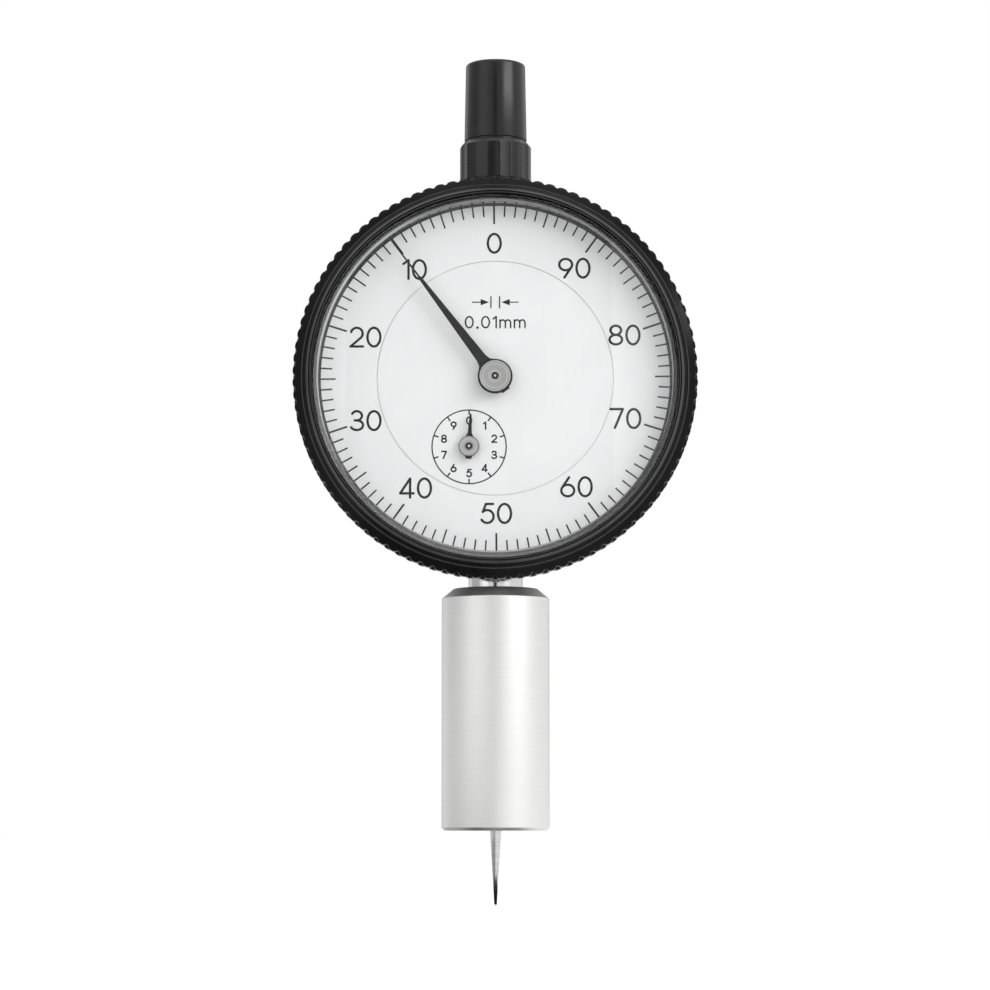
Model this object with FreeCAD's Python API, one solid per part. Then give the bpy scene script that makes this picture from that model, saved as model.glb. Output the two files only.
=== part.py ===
import FreeCAD, Part
import math
import os

# Dial depth gauge, millimetres.
# Frame: +Z up along the spindle, the dial faces -Y, +X to the right as the dial is read.
# Origin: centre of the lower reference face of the base.

# Reference base and needle
BASE_DIAMETER = 16.0
BASE_LENGTH = 35.7
BASE_SHOULDER_WIDTH = 1.7
BASE_SHOULDER_HEIGHT = 1.45
BASE_EDGE = 0.2
BASE_FLOOR = 4.0
STEM_GRIP = 15.2
NEEDLE_REACH = 11.0
NEEDLE_DIAMETER = 1.7
NEEDLE_TIP_DIAMETER = 0.4
NEEDLE_HEAD_DIAMETER = 3.6
NEEDLE_HEAD_LENGTH = 2.0
NEEDLE_HEAD_LIFT = 2.5
NEEDLE_THREAD_DIAMETER = 2.5
NEEDLE_THREAD_LENGTH = 4.5
CLAMP_SCREW_DIAMETER = 3.0
CLAMP_SCREW_LENGTH = 3.6
HEX_SOCKET_WIDTH = 1.5
HEX_SOCKET_DEPTH = 1.5

# Stem, spindle and cap
TRAVEL = 11.0
STEM_DIAMETER = 8.0
STEM_WALL = 0.9
STEM_SHOWING = 1.0
STEM_BUSH_SETBACK = 1.5
STEM_BUSH_LENGTH = 10.0
SPINDLE_DIAMETER = 5.0
SPINDLE_RISE = 0.7
NECK_WALL = 0.7
NECK_LENGTH = 4.3
NECK_SEAT_DIAMETER = 10.4
NECK_BUSH_WALL = 0.77
SEAL_THICKNESS = 0.4
CAP_GAP = 0.7
CAP_SKIRT_HEIGHT = 6.05
CAP_SKIRT_DIAMETER = 11.0
CAP_SKIRT_TOP_DIAMETER = 10.7
CAP_BARREL_DIAMETER = 9.38
CAP_BARREL_TOP_DIAMETER = 8.94
CAP_BARREL_WALL = 1.1
CAP_ROOF = 1.4
CAP_HEAD_ROOM = 0.7
CAP_EDGE_ROUND = 0.5
CAP_FLUTES = 18
CAP_FLUTE_RADIUS = 3.0
CAP_FLUTE_DEPTH = 0.19
CAP_FLUTE_START_DEG = 7.5
CAP_GROOVE_DEPTH = 0.2
CAP_GROOVE_WIDTH = 0.25
CAP_SHOULDER_HEIGHT = 0.75
CAP_SHOULDER_BULGE = 0.62
CAP_SHOULDER_BULGE_DROP = 0.36

# Case, cover and bezel
CASE_WALL = 2.6
CASE_DEPTH = 10.25
WEB_THICKNESS = 1.25
SPIGOT_LENGTH = 1.05
SPIGOT_WALL = 0.8
COVER_THICKNESS = 1.2
COVER_EDGE = 0.4
GASKET_THICKNESS = 0.3
COVER_SCREWS = 4
COVER_SCREW_START_DEG = 45.0
COVER_SCREW_DIAMETER = 1.6
COVER_SCREW_LENGTH = 5.0
COVER_SCREW_HEAD_DIAMETER = 2.2
COVER_SCREW_HEAD_DEPTH = 0.7
STEM_BOSS_WALL = 2.0
STEM_BOSS_ROOF = 1.3
BEZEL_DIAMETER = 59.8
BEZEL_OVERHANG = 1.9
BEZEL_RIM = 2.95
KNURL_TEETH = 100
KNURL_DEPTH = 0.35
KNURL_EDGE = 0.35
KNURL_TIP_SHARE = 0.42
KNURL_ROOT_SHARE = 0.66
BEZEL_LIP_WIDTH = 0.35
BEZEL_LIP_ROUND = 0.15
BEZEL_LIP_STAND = 0.4
BEZEL_SLOPE_WIDTH = 1.05
BEZEL_SLOPE_DEPTH = 1.05
BEZEL_SHOULDER_DEPTH = 0.75
BEZEL_LEDGE_THICKNESS = 0.35
BEZEL_LEDGE_WIDTH = 0.9
RETAINING_WIRE_DIAMETER = 0.4
RETAINING_WIRE_GAP_DEG = 16.0

# Dials, crystal and hands
DIAL_THICKNESS = 0.4
INNER_DIAL_DIAMETER = 34.8
DIAL_SEAT_SETBACK = 0.4
CRYSTAL_WALL = 1.0
CRYSTAL_THICKNESS = 1.0
CRYSTAL_CHAMFER = 0.55
HAND_ROOM = 2.75
LONG_HAND_END_GAP = 0.45
LONG_HAND_ANGLE_DEG = 37.1
LONG_HAND_DISC_DIAMETER = 5.15
LONG_HAND_TAIL = 0.12
LONG_HAND_TAIL_WIDTH = 1.3
LONG_HAND_HEIGHT = 1.55
LONG_HAND_FLARE_WIDTH = 2.86
LONG_HAND_FLARE_LENGTH = 0.8
LONG_HAND_WIDTH = 1.56
LONG_HAND_NECK_WIDTH = 0.5
LONG_HAND_NECK_LENGTH = 0.6
LONG_HAND_BLADE_WIDTH = 0.28
LONG_HAND_TIP_WIDTH = 0.2
LONG_HAND_NECK_SHARE = 0.71
LONG_HAND_THICKNESS = 0.2
LONG_HUB_DIAMETER = 4.6
LONG_HUB_THICKNESS = 0.55
SMALL_HAND_LENGTH = 4.8
SMALL_HAND_TAIL = 1.88
SMALL_HAND_TAIL_WIDTH = 0.75
SMALL_HAND_ANGLE_DEG = -3.0
SMALL_HAND_HEIGHT = 0.8
SMALL_HAND_DISC_DIAMETER = 3.08
SMALL_HAND_FLARE_WIDTH = 1.2
SMALL_HAND_FLARE_LENGTH = 0.38
SMALL_HAND_WIDTH = 0.62
SMALL_HAND_TIP_WIDTH = 0.26
SMALL_HAND_THICKNESS = 0.15
SMALL_HUB_DIAMETER = 2.97
SMALL_HUB_THICKNESS = 0.25
ARBOR_TIP_STAND = 0.12

# Gear train
GEAR_MODULE = 0.2
GEAR_TEETH = 100
CENTRE_PINION_TEETH = 10
RACK_PINION_TEETH = 16
TRAVEL_PER_PINION_TURN = 10.0
PRESSURE_ANGLE_DEG = 20.0
TOOTH_BACKLASH = 0.05
GEAR_ADDENDUM_SHARE = 0.6
PINION_ADDENDUM_SHARE = 1.0
RACK_ADDENDUM_SHARE = 0.9
TOOTH_ROOT_SHARE = 0.25
GEAR_THICKNESS = 0.5
RACK_PINION_LENGTH = 3.0
RACK_LINE_INSET = 0.23
RACK_SPARE_TEETH = 3
TAKEUP_ANGLE_DEG = 50.0
ARBOR_DIAMETER = 1.4
BEARING_JOURNAL_DIAMETER = 1.0
HAND_SEAT_DIAMETER = 0.9
PIVOT_DIAMETER = 0.76
JEWEL_DIAMETER = 2.0
JEWEL_THICKNESS = 0.6
CENTRE_BEARING_DIAMETER = 3.0
SMALL_BEARING_DIAMETER = 2.4

# Movement frame
BRIDGE_THICKNESS = 0.6
BRIDGE_WIDTH = 5.0
BRIDGE_POST_LEFT = (-12.0, 6.4)
BRIDGE_POST_DIAMETER = 2.6
BRIDGE_SCREW_DIAMETER = 1.0
BRIDGE_SCREW_HEAD_DIAMETER = 2.4
BRIDGE_SCREW_HEAD_DEPTH = 0.6
BRIDGE_SCREW_BITE = 0.8
PLATE_THICKNESS = 0.8
PLATE_HALF_WIDTH = 19.5
PLATE_BELOW = 14.1
PLATE_ABOVE = 17.9
PLATE_CORNER = 2.0
PILLAR_DIAMETER = 2.8
PILLAR_SPIGOT_DIAMETER = 1.6
PILLAR_SPIGOT_LENGTH = 0.7
PILLAR_PLACES = ((-17.5, -9.1), (17.5, -9.1), (-13.5, 14.4), (16.5, 15.9))
PLATE_SCREW_DIAMETER = 1.2
PLATE_SCREW_BITE = 3.0
PLATE_SCREW_HEAD_DIAMETER = 2.6
PLATE_SCREW_HEAD_DEPTH = 0.7
SCREW_SLOT_WIDTH = 0.3
SCREW_SLOT_DEPTH = 0.3

# Guide pin and springs
GUIDE_PIN_DIAMETER = 1.2
GUIDE_PIN_DROP = 8.6
GUIDE_PIN_END = 8.8
GUIDE_RAIL_STANDOFF = 0.9
GUIDE_RAIL_WIDTH = 1.8
GUIDE_RAIL_CHEEK = 1.0
GUIDE_RAIL_END = 1.4
GUIDE_SCREW_DIAMETER = 1.0
GUIDE_SCREW_HEAD_DIAMETER = 2.0
GUIDE_SCREW_HEAD_DEPTH = 0.5
GUIDE_SCREW_BITE = 1.6
SPRING_X = 7.9
SPRING_POST_DROP = 20.6
SPRING_POST_DIAMETER = 1.2
SPRING_POST_BITE = 0.8
SPRING_COIL_DIAMETER = 2.6
SPRING_WIRE_DIAMETER = 0.3
SPRING_PITCH = 0.6
SPRING_HOOK_GAP = 0.08
HAIRSPRING_TURNS = 4.5
HAIRSPRING_DIAMETER = 8.0
HAIRSPRING_STRIP = 0.12
HAIRSPRING_HEIGHT = 0.7
HAIRSPRING_SETBACK = 0.6
COLLET_DIAMETER = 2.3
STUD_DIAMETER = 1.0

# Clearances
SEAT_GAP = 0.01
PIVOT_GAP = 0.04
GUIDE_GAP = 0.03
THREAD_GAP = 0.03
BEZEL_GAP = 0.06
FACE_GAP = 0.15
RUN_GAP = 0.3
GEAR_GAP = 0.2
PLATE_GAP = 0.4
NEEDLE_HOLE_GAP = 0.3
SPINDLE_HOLE_GAP = 0.4
DIAL_SPLIT = 0.15
BEZEL_STEM_GAP = 0.3
CLOSED_WITHIN = 1e-6

# Heights along Z, from the reference face up
BASE_RADIUS = BASE_DIAMETER / 2
STEM_RADIUS = STEM_DIAMETER / 2
SPINDLE_RADIUS = SPINDLE_DIAMETER / 2
BEZEL_RADIUS = BEZEL_DIAMETER / 2
CASE_DIAMETER = BEZEL_DIAMETER - 2 * BEZEL_OVERHANG
CASE_RADIUS = CASE_DIAMETER / 2
CRYSTAL_DIAMETER = BEZEL_DIAMETER - 2 * BEZEL_RIM
LONG_HAND_LENGTH = CRYSTAL_DIAMETER / 2 - CRYSTAL_WALL - LONG_HAND_END_GAP
CAVITY_RADIUS = CASE_RADIUS - CASE_WALL
STEM_BOTTOM = BASE_LENGTH - STEM_GRIP
STEM_BORE_RADIUS = STEM_RADIUS - STEM_WALL
DIAL_HEIGHT = BASE_LENGTH + STEM_SHOWING + BEZEL_RADIUS
CASE_BOTTOM = DIAL_HEIGHT - CASE_RADIUS
NEEDLE_HEAD_BOTTOM = BASE_FLOOR + NEEDLE_HEAD_LIFT
SPINDLE_BOTTOM = NEEDLE_HEAD_BOTTOM + NEEDLE_HEAD_LENGTH
CAP_BOTTOM = DIAL_HEIGHT + BEZEL_RADIUS + CAP_GAP
SEAT_TOP = CAP_BOTTOM - SEAL_THICKNESS
NECK_TOP = CAP_BOTTOM + NECK_LENGTH
SPINDLE_TOP = NECK_TOP + SPINDLE_RISE
CAP_INNER_TOP = SPINDLE_TOP + TRAVEL + CAP_HEAD_ROOM
CAP_TOP = CAP_INNER_TOP + CAP_ROOF
CAP_SKIRT_TOP = CAP_BOTTOM + CAP_SKIRT_HEIGHT
GUIDE_PIN_HEIGHT = DIAL_HEIGHT - GUIDE_PIN_DROP
SPRING_POST_HEIGHT = DIAL_HEIGHT - SPRING_POST_DROP

# Depths along Y, from the spindle axis
CASE_FRONT = -(STEM_RADIUS + FACE_GAP)
BEZEL_BACK = -(STEM_RADIUS + BEZEL_STEM_GAP)
SPIGOT_FRONT = CASE_FRONT - SPIGOT_LENGTH
LEDGE_BACK = SPIGOT_FRONT - FACE_GAP
DIAL_BACK = LEDGE_BACK - BEZEL_LEDGE_THICKNESS
DIAL_FACE = DIAL_BACK - DIAL_THICKNESS
CRYSTAL_INNER = DIAL_FACE - HAND_ROOM
CRYSTAL_FRONT = CRYSTAL_INNER - CRYSTAL_THICKNESS
BEZEL_FRONT = CRYSTAL_FRONT - BEZEL_LIP_STAND
WEB_BACK = SPIGOT_FRONT + WEB_THICKNESS
GEAR_FRONT = WEB_BACK + GEAR_GAP
GEAR_BACK = GEAR_FRONT + GEAR_THICKNESS
BRIDGE_FRONT = GEAR_BACK + RUN_GAP
BRIDGE_BACK = BRIDGE_FRONT + BRIDGE_THICKNESS
SPINDLE_FLAT = BRIDGE_BACK + RUN_GAP
PLATE_FRONT = SPINDLE_RADIUS + PLATE_GAP
PLATE_BACK = PLATE_FRONT + PLATE_THICKNESS
CASE_BACK = CASE_FRONT + CASE_DEPTH
COVER_FRONT = CASE_BACK + GASKET_THICKNESS
COVER_BACK = COVER_FRONT + COVER_THICKNESS
LONG_HAND_FACE = DIAL_FACE - LONG_HAND_HEIGHT - LONG_HAND_THICKNESS
LONG_HUB_FACE = LONG_HAND_FACE - LONG_HUB_THICKNESS
SMALL_HAND_FACE = DIAL_FACE - SMALL_HAND_HEIGHT - SMALL_HAND_THICKNESS
SMALL_HUB_FACE = SMALL_HAND_FACE - SMALL_HUB_THICKNESS

# Gear centres, as (x, z)
RACK_MODULE = TRAVEL_PER_PINION_TURN / (math.pi * RACK_PINION_TEETH)
RACK_PINION_RADIUS = RACK_MODULE * RACK_PINION_TEETH / 2
RACK_PITCH = math.pi * RACK_MODULE
RACK_LINE = -(SPINDLE_RADIUS - RACK_LINE_INSET)
GEAR_RADIUS = GEAR_MODULE * GEAR_TEETH / 2
CENTRE_PINION_RADIUS = GEAR_MODULE * CENTRE_PINION_TEETH / 2
GEAR_DISTANCE = GEAR_RADIUS + CENTRE_PINION_RADIUS
SUB_X = RACK_LINE - RACK_PINION_RADIUS
SUB_CENTRE = (SUB_X, DIAL_HEIGHT - math.sqrt(GEAR_DISTANCE ** 2 - SUB_X ** 2))
DIAL_CENTRE = (0.0, DIAL_HEIGHT)
GEAR_TIP_RADIUS = GEAR_RADIUS + GEAR_ADDENDUM_SHARE * GEAR_MODULE
TAKEUP_ANGLE = math.radians(TAKEUP_ANGLE_DEG)
TAKEUP_CENTRE = (
    GEAR_DISTANCE * math.cos(TAKEUP_ANGLE),
    DIAL_HEIGHT + GEAR_DISTANCE * math.sin(TAKEUP_ANGLE),
)

# The boss that holds the stem ends just under the drive gear
STEM_BOSS_TOP = SUB_CENTRE[1] - GEAR_TIP_RADIUS - RUN_GAP
STEM_TOP = STEM_BOSS_TOP - STEM_BOSS_ROOF

# The bridge runs from its left post, under the dial centre, to a like post on the right
BRIDGE_POSTS = (
    (BRIDGE_POST_LEFT[0], DIAL_HEIGHT + BRIDGE_POST_LEFT[1]),
    (-BRIDGE_POST_LEFT[0], DIAL_HEIGHT - BRIDGE_POST_LEFT[1]),
)
PILLARS = [(x, DIAL_HEIGHT + z) for x, z in PILLAR_PLACES]

Z_AXIS = FreeCAD.Vector(0, 0, 1)
Y_AXIS = FreeCAD.Vector(0, 1, 0)
X_AXIS = FreeCAD.Vector(1, 0, 0)

NODES = {}


def vec(x, y, z):
    return FreeCAD.Vector(x, y, z)


def add(name, *shapes):
    """Keep one named piece, or a group of like pieces."""
    NODES[name] = shapes[0] if len(shapes) == 1 else Part.makeCompound(list(shapes))


def upright(radius, low, high, x=0.0, y=0.0):
    """Cylinder along Z between two heights."""
    return Part.makeCylinder(radius, high - low, vec(x, y, low), Z_AXIS)


def across(radius, front, back, centre):
    """Cylinder along Y between two depths, centred at (x, z)."""
    return Part.makeCylinder(radius, back - front, vec(centre[0], front, centre[1]), Y_AXIS)


def block(x_range, y_range, z_range):
    size = [high - low for low, high in (x_range, y_range, z_range)]
    return Part.makeBox(*size, vec(x_range[0], y_range[0], z_range[0]))


def profile_face(points, place):
    """Face from an outline; an entry of two points is an arc through the first to the second."""
    edges = []
    first = start = place(*points[0])
    for entry in points[1:]:
        if isinstance(entry[0], tuple):
            middle, end = place(*entry[0]), place(*entry[1])
            edges.append(Part.Arc(start, middle, end).toShape())
        else:
            end = place(*entry)
            edges.append(Part.LineSegment(start, end).toShape())
        start = end
    if (start - first).Length > CLOSED_WITHIN:
        edges.append(Part.LineSegment(start, first).toShape())
    return Part.Face(Part.Wire(edges))


def turned_upright(points):
    """Solid of revolution about the spindle axis from (radius, height) points."""
    face = profile_face(points, lambda r, z: vec(r, 0, z))
    return face.revolve(vec(0, 0, 0), Z_AXIS, 360)


def turned_dial(points, centre=DIAL_CENTRE):
    """Solid of revolution about an axis along Y from (radius, depth) points."""
    face = profile_face(points, lambda r, y: vec(centre[0] + r, y, centre[1]))
    return face.revolve(vec(centre[0], 0, centre[1]), Y_AXIS, 360)


def prism(outline, front, back):
    """Solid between two depths from a closed (x, z) outline."""
    face = profile_face(outline, lambda x, z: vec(x, front, z))
    return face.extrude(vec(0, back - front, 0))


def polar(centre, radius, angle):
    return (centre[0] + radius * math.cos(angle), centre[1] + radius * math.sin(angle))


def ring_places(count, radius, first_deg):
    step = 2 * math.pi / count
    return [polar(DIAL_CENTRE, radius, math.radians(first_deg) + i * step) for i in range(count)]


def slotted_screw(centre, seat, head_radius, head_depth, shank_radius, tip):
    """Screw along Y whose slotted head stands behind its seat; the shank runs forward to its tip."""
    back = seat + head_depth
    head = across(head_radius, seat, back, centre)
    shank = across(shank_radius, tip, seat, centre)
    slot = block(
        (centre[0] - 2 * head_radius, centre[0] + 2 * head_radius),
        (back - SCREW_SLOT_DEPTH, back + SCREW_SLOT_DEPTH),
        (centre[1] - SCREW_SLOT_WIDTH / 2, centre[1] + SCREW_SLOT_WIDTH / 2),
    )
    return head.fuse(shank).removeSplitter().cut(slot)


def involute_half_angle(teeth, module, radius):
    """Half the angle that a tooth, thinned by half the backlash, fills at a radius."""
    pressure = math.radians(PRESSURE_ANGLE_DEG)
    pitch_radius = module * teeth / 2
    base_radius = pitch_radius * math.cos(pressure)
    at_pitch = math.pi / (2 * teeth) - TOOTH_BACKLASH / (4 * pitch_radius)
    involute = math.tan(pressure) - pressure
    local = math.acos(min(1.0, base_radius / radius))
    return at_pitch + involute - (math.tan(local) - local)


def toothed_outline(centre, teeth, module, addendum, dedendum, first_angle, flank_points):
    """Closed outline of a spur gear, with straight runs between the flank points."""
    pitch_radius = module * teeth / 2
    tip = pitch_radius + addendum * module
    root = pitch_radius - dedendum * module
    low = max(root, pitch_radius * math.cos(math.radians(PRESSURE_ANGLE_DEG)))
    radii = [low + (tip - low) * i / (flank_points - 1) for i in range(flank_points)]
    flank = [(radius, involute_half_angle(teeth, module, radius)) for radius in radii]
    if root < low:
        flank.insert(0, (root, flank[0][1]))
    outline = []
    for tooth in range(teeth):
        middle = first_angle + 2 * math.pi * tooth / teeth
        outline += [polar(centre, radius, middle - half) for radius, half in flank]
        outline += [polar(centre, radius, middle + half) for radius, half in reversed(flank)]
    return outline


def rounded_bar(start, end, width, front, back):
    """Flat bar with round ends between two (x, z) points."""
    angle = math.atan2(end[1] - start[1], end[0] - start[0])
    side = math.pi / 2
    half = width / 2
    outline = [
        polar(start, half, angle - side),
        polar(end, half, angle - side),
        (polar(end, half, angle), polar(end, half, angle + side)),
        polar(start, half, angle + side),
        (polar(start, half, angle + math.pi), polar(start, half, angle - side)),
    ]
    return prism(outline, front, back)


def cut_all(shape, tools):
    for tool in tools:
        shape = shape.cut(tool)
    return shape


def make_base():
    """Cylindrical base that clamps on the stem; its lower face is the measuring reference."""
    top = BASE_LENGTH
    body = turned_upright([
        (0, 0),
        (BASE_RADIUS - BASE_EDGE, 0),
        (BASE_RADIUS, BASE_EDGE),
        (BASE_RADIUS, top - BASE_SHOULDER_HEIGHT),
        (BASE_RADIUS - BASE_SHOULDER_WIDTH, top),
        (0, top),
    ])
    needle_hole = upright(NEEDLE_DIAMETER / 2 + NEEDLE_HOLE_GAP, 0, BASE_FLOOR)
    well = upright(SPINDLE_RADIUS + SPINDLE_HOLE_GAP, BASE_FLOOR, STEM_BOTTOM)
    grip = upright(STEM_RADIUS + SEAT_GAP, STEM_BOTTOM, top)
    screw_height = STEM_BOTTOM + STEM_GRIP / 2
    screw_hole = across(
        CLAMP_SCREW_DIAMETER / 2 + THREAD_GAP, STEM_RADIUS, BASE_RADIUS, (0.0, screw_height))
    add("reference_base", cut_all(body, [needle_hole, well, grip, screw_hole]))

    tip = STEM_RADIUS + SEAT_GAP
    end = tip + CLAMP_SCREW_LENGTH
    screw = across(CLAMP_SCREW_DIAMETER / 2, tip, end, (0.0, screw_height))
    corner = HEX_SOCKET_WIDTH / math.sqrt(3)
    socket = prism(
        [polar((0.0, screw_height), corner, math.pi * i / 3) for i in range(6)],
        end - HEX_SOCKET_DEPTH, end)
    add("base_clamp_screw", screw.cut(socket))


def make_needle():
    """Needle contact point, screwed into the lower end of the spindle."""
    shank = NEEDLE_DIAMETER / 2
    head = NEEDLE_HEAD_DIAMETER / 2
    tip = NEEDLE_TIP_DIAMETER / 2
    thread = NEEDLE_THREAD_DIAMETER / 2
    half_tip = tip / math.sqrt(2)
    add("needle_point", turned_upright([
        (0, -NEEDLE_REACH),
        ((half_tip, -NEEDLE_REACH + tip - half_tip), (tip, -NEEDLE_REACH + tip)),
        (shank, 0),
        (shank, NEEDLE_HEAD_BOTTOM),
        (head, NEEDLE_HEAD_BOTTOM),
        (head, SPINDLE_BOTTOM),
        (thread, SPINDLE_BOTTOM),
        (thread, SPINDLE_BOTTOM + NEEDLE_THREAD_LENGTH),
        (0, SPINDLE_BOTTOM + NEEDLE_THREAD_LENGTH),
    ]))


def rack_cutters():
    """Straight-flanked spaces of the rack, one of them level with the pinion at rest."""
    slope = math.tan(math.radians(PRESSURE_ANGLE_DEG))
    root = RACK_LINE + (PINION_ADDENDUM_SHARE + TOOTH_ROOT_SHARE) * RACK_MODULE
    outside = -SPINDLE_RADIUS - RACK_PITCH
    half_at_line = RACK_PITCH / 4 + TOOTH_BACKLASH / 4
    half_root = half_at_line - (root - RACK_LINE) * slope
    half_outside = half_at_line + (RACK_LINE - outside) * slope
    tip_line = RACK_LINE - RACK_ADDENDUM_SHARE * RACK_MODULE
    half_tip = half_at_line + (RACK_LINE - tip_line) * slope
    below = math.ceil(TRAVEL / RACK_PITCH) + RACK_SPARE_TEETH
    cutters = []
    for index in range(-below, RACK_SPARE_TEETH + 1):
        height = SUB_CENTRE[1] + index * RACK_PITCH
        outline = [
            (root, height - half_root),
            (root, height + half_root),
            (tip_line, height + half_tip),
            (outside, height + half_outside),
            (outside, height - half_outside),
            (tip_line, height - half_tip),
        ]
        cutters.append(prism(outline, -SPINDLE_DIAMETER, SPINDLE_DIAMETER))
    low = SUB_CENTRE[1] - (below + 0.5) * RACK_PITCH
    high = SUB_CENTRE[1] + (RACK_SPARE_TEETH + 0.5) * RACK_PITCH
    reach = SPINDLE_DIAMETER
    land = block((-reach, tip_line), (-reach, reach), (low, high))
    return [land] + cutters


def bridge_span_over_spindle():
    """Lowest and highest point of the bridge where it passes the spindle."""
    left, right = BRIDGE_POSTS
    slope = (right[1] - left[1]) / (right[0] - left[0])
    middle = left[1] - slope * left[0]
    half = abs(slope) * SPINDLE_RADIUS + BRIDGE_WIDTH / 2 * math.sqrt(1 + slope ** 2)
    return middle - half, middle + half


def make_spindle():
    """Spindle with its rack on the left, a relief flat in front and the guide pin on the right."""
    body = upright(SPINDLE_RADIUS, SPINDLE_BOTTOM, SPINDLE_TOP)
    thread_hole = upright(
        NEEDLE_THREAD_DIAMETER / 2 + THREAD_GAP, SPINDLE_BOTTOM,
        SPINDLE_BOTTOM + NEEDLE_THREAD_LENGTH + RUN_GAP)
    low, high = bridge_span_over_spindle()
    relief = block(
        (-SPINDLE_DIAMETER, SPINDLE_DIAMETER), (-SPINDLE_DIAMETER, SPINDLE_FLAT),
        (low - TRAVEL - RUN_GAP, high + RUN_GAP))
    pin_radius = GUIDE_PIN_DIAMETER / 2
    pin_start = vec(-pin_radius, 0, GUIDE_PIN_HEIGHT)
    pin_hole = Part.makeCylinder(pin_radius + SEAT_GAP, SPINDLE_DIAMETER, pin_start, X_AXIS)
    add("spindle", cut_all(body, [thread_hole, relief, pin_hole] + rack_cutters()))
    add("guide_pin", Part.makeCylinder(
        pin_radius, GUIDE_PIN_END + pin_radius, pin_start, X_AXIS))


def make_stem():
    """Clamping stem and the two spindle bushes."""
    stem = upright(STEM_RADIUS, STEM_BOTTOM, STEM_TOP)
    add("stem", stem.cut(upright(STEM_BORE_RADIUS, STEM_BOTTOM, STEM_TOP)))
    bore = SPINDLE_RADIUS + GUIDE_GAP
    low = STEM_BOTTOM + STEM_BUSH_SETBACK
    high = low + STEM_BUSH_LENGTH
    bush = upright(STEM_BORE_RADIUS - SEAT_GAP, low, high)
    add("stem_bush", bush.cut(upright(bore, low, high)))
    low = DIAL_HEIGHT + CAVITY_RADIUS + RUN_GAP
    bush = upright(SPINDLE_RADIUS + NECK_BUSH_WALL, low, NECK_TOP)
    add("neck_bush", bush.cut(upright(bore, low, NECK_TOP)))


def neck_radius():
    return SPINDLE_RADIUS + NECK_BUSH_WALL + SEAT_GAP + NECK_WALL


def make_cap():
    """Screw cap over the top of the spindle, with a fluted grip, and its seal."""
    skirt_low, skirt_high = CAP_SKIRT_DIAMETER / 2, CAP_SKIRT_TOP_DIAMETER / 2
    barrel_low, barrel_high = CAP_BARREL_DIAMETER / 2, CAP_BARREL_TOP_DIAMETER / 2
    shoulder = CAP_SKIRT_TOP - CAP_SHOULDER_HEIGHT
    bulge = (
        barrel_low + CAP_SHOULDER_BULGE * (skirt_high - barrel_low),
        CAP_SKIRT_TOP - CAP_SHOULDER_BULGE_DROP * CAP_SHOULDER_HEIGHT)
    neck = neck_radius() + THREAD_GAP
    inner = barrel_low - CAP_BARREL_WALL
    inner_top = barrel_high - CAP_BARREL_WALL
    thread_top = NECK_TOP + RUN_GAP
    groove_top = CAP_SKIRT_TOP + CAP_GROOVE_WIDTH
    edge = CAP_EDGE_ROUND
    edge_middle = edge * (1 - 1 / math.sqrt(2))
    body = turned_upright([
        (neck, CAP_BOTTOM),
        (skirt_low, CAP_BOTTOM),
        (skirt_high, shoulder),
        (bulge, (barrel_low, CAP_SKIRT_TOP)),
        (barrel_low - CAP_GROOVE_DEPTH, CAP_SKIRT_TOP),
        (barrel_low - CAP_GROOVE_DEPTH, groove_top),
        (barrel_low, groove_top),
        (barrel_high, CAP_TOP - edge),
        ((barrel_high - edge_middle, CAP_TOP - edge_middle), (barrel_high - edge, CAP_TOP)),
        (0, CAP_TOP),
        (0, CAP_INNER_TOP),
        (inner_top, CAP_INNER_TOP),
        (inner, thread_top),
        (neck, thread_top),
    ])
    distance = skirt_high - CAP_FLUTE_DEPTH + CAP_FLUTE_RADIUS
    flutes = []
    for index in range(CAP_FLUTES):
        angle = math.radians(CAP_FLUTE_START_DEG + 360.0 * index / CAP_FLUTES)
        flutes.append(upright(
            CAP_FLUTE_RADIUS, CAP_BOTTOM - CAP_GAP, CAP_SKIRT_TOP,
            distance * math.cos(angle), distance * math.sin(angle)))
    add("spindle_cap", cut_all(body, flutes))
    seal = upright(NECK_SEAT_DIAMETER / 2, SEAT_TOP, CAP_BOTTOM)
    add("cap_seal", seal.cut(upright(neck, SEAT_TOP, CAP_BOTTOM)))


def cover_screw_places():
    return ring_places(COVER_SCREWS, CASE_RADIUS - CASE_WALL / 2, COVER_SCREW_START_DEG)


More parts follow.
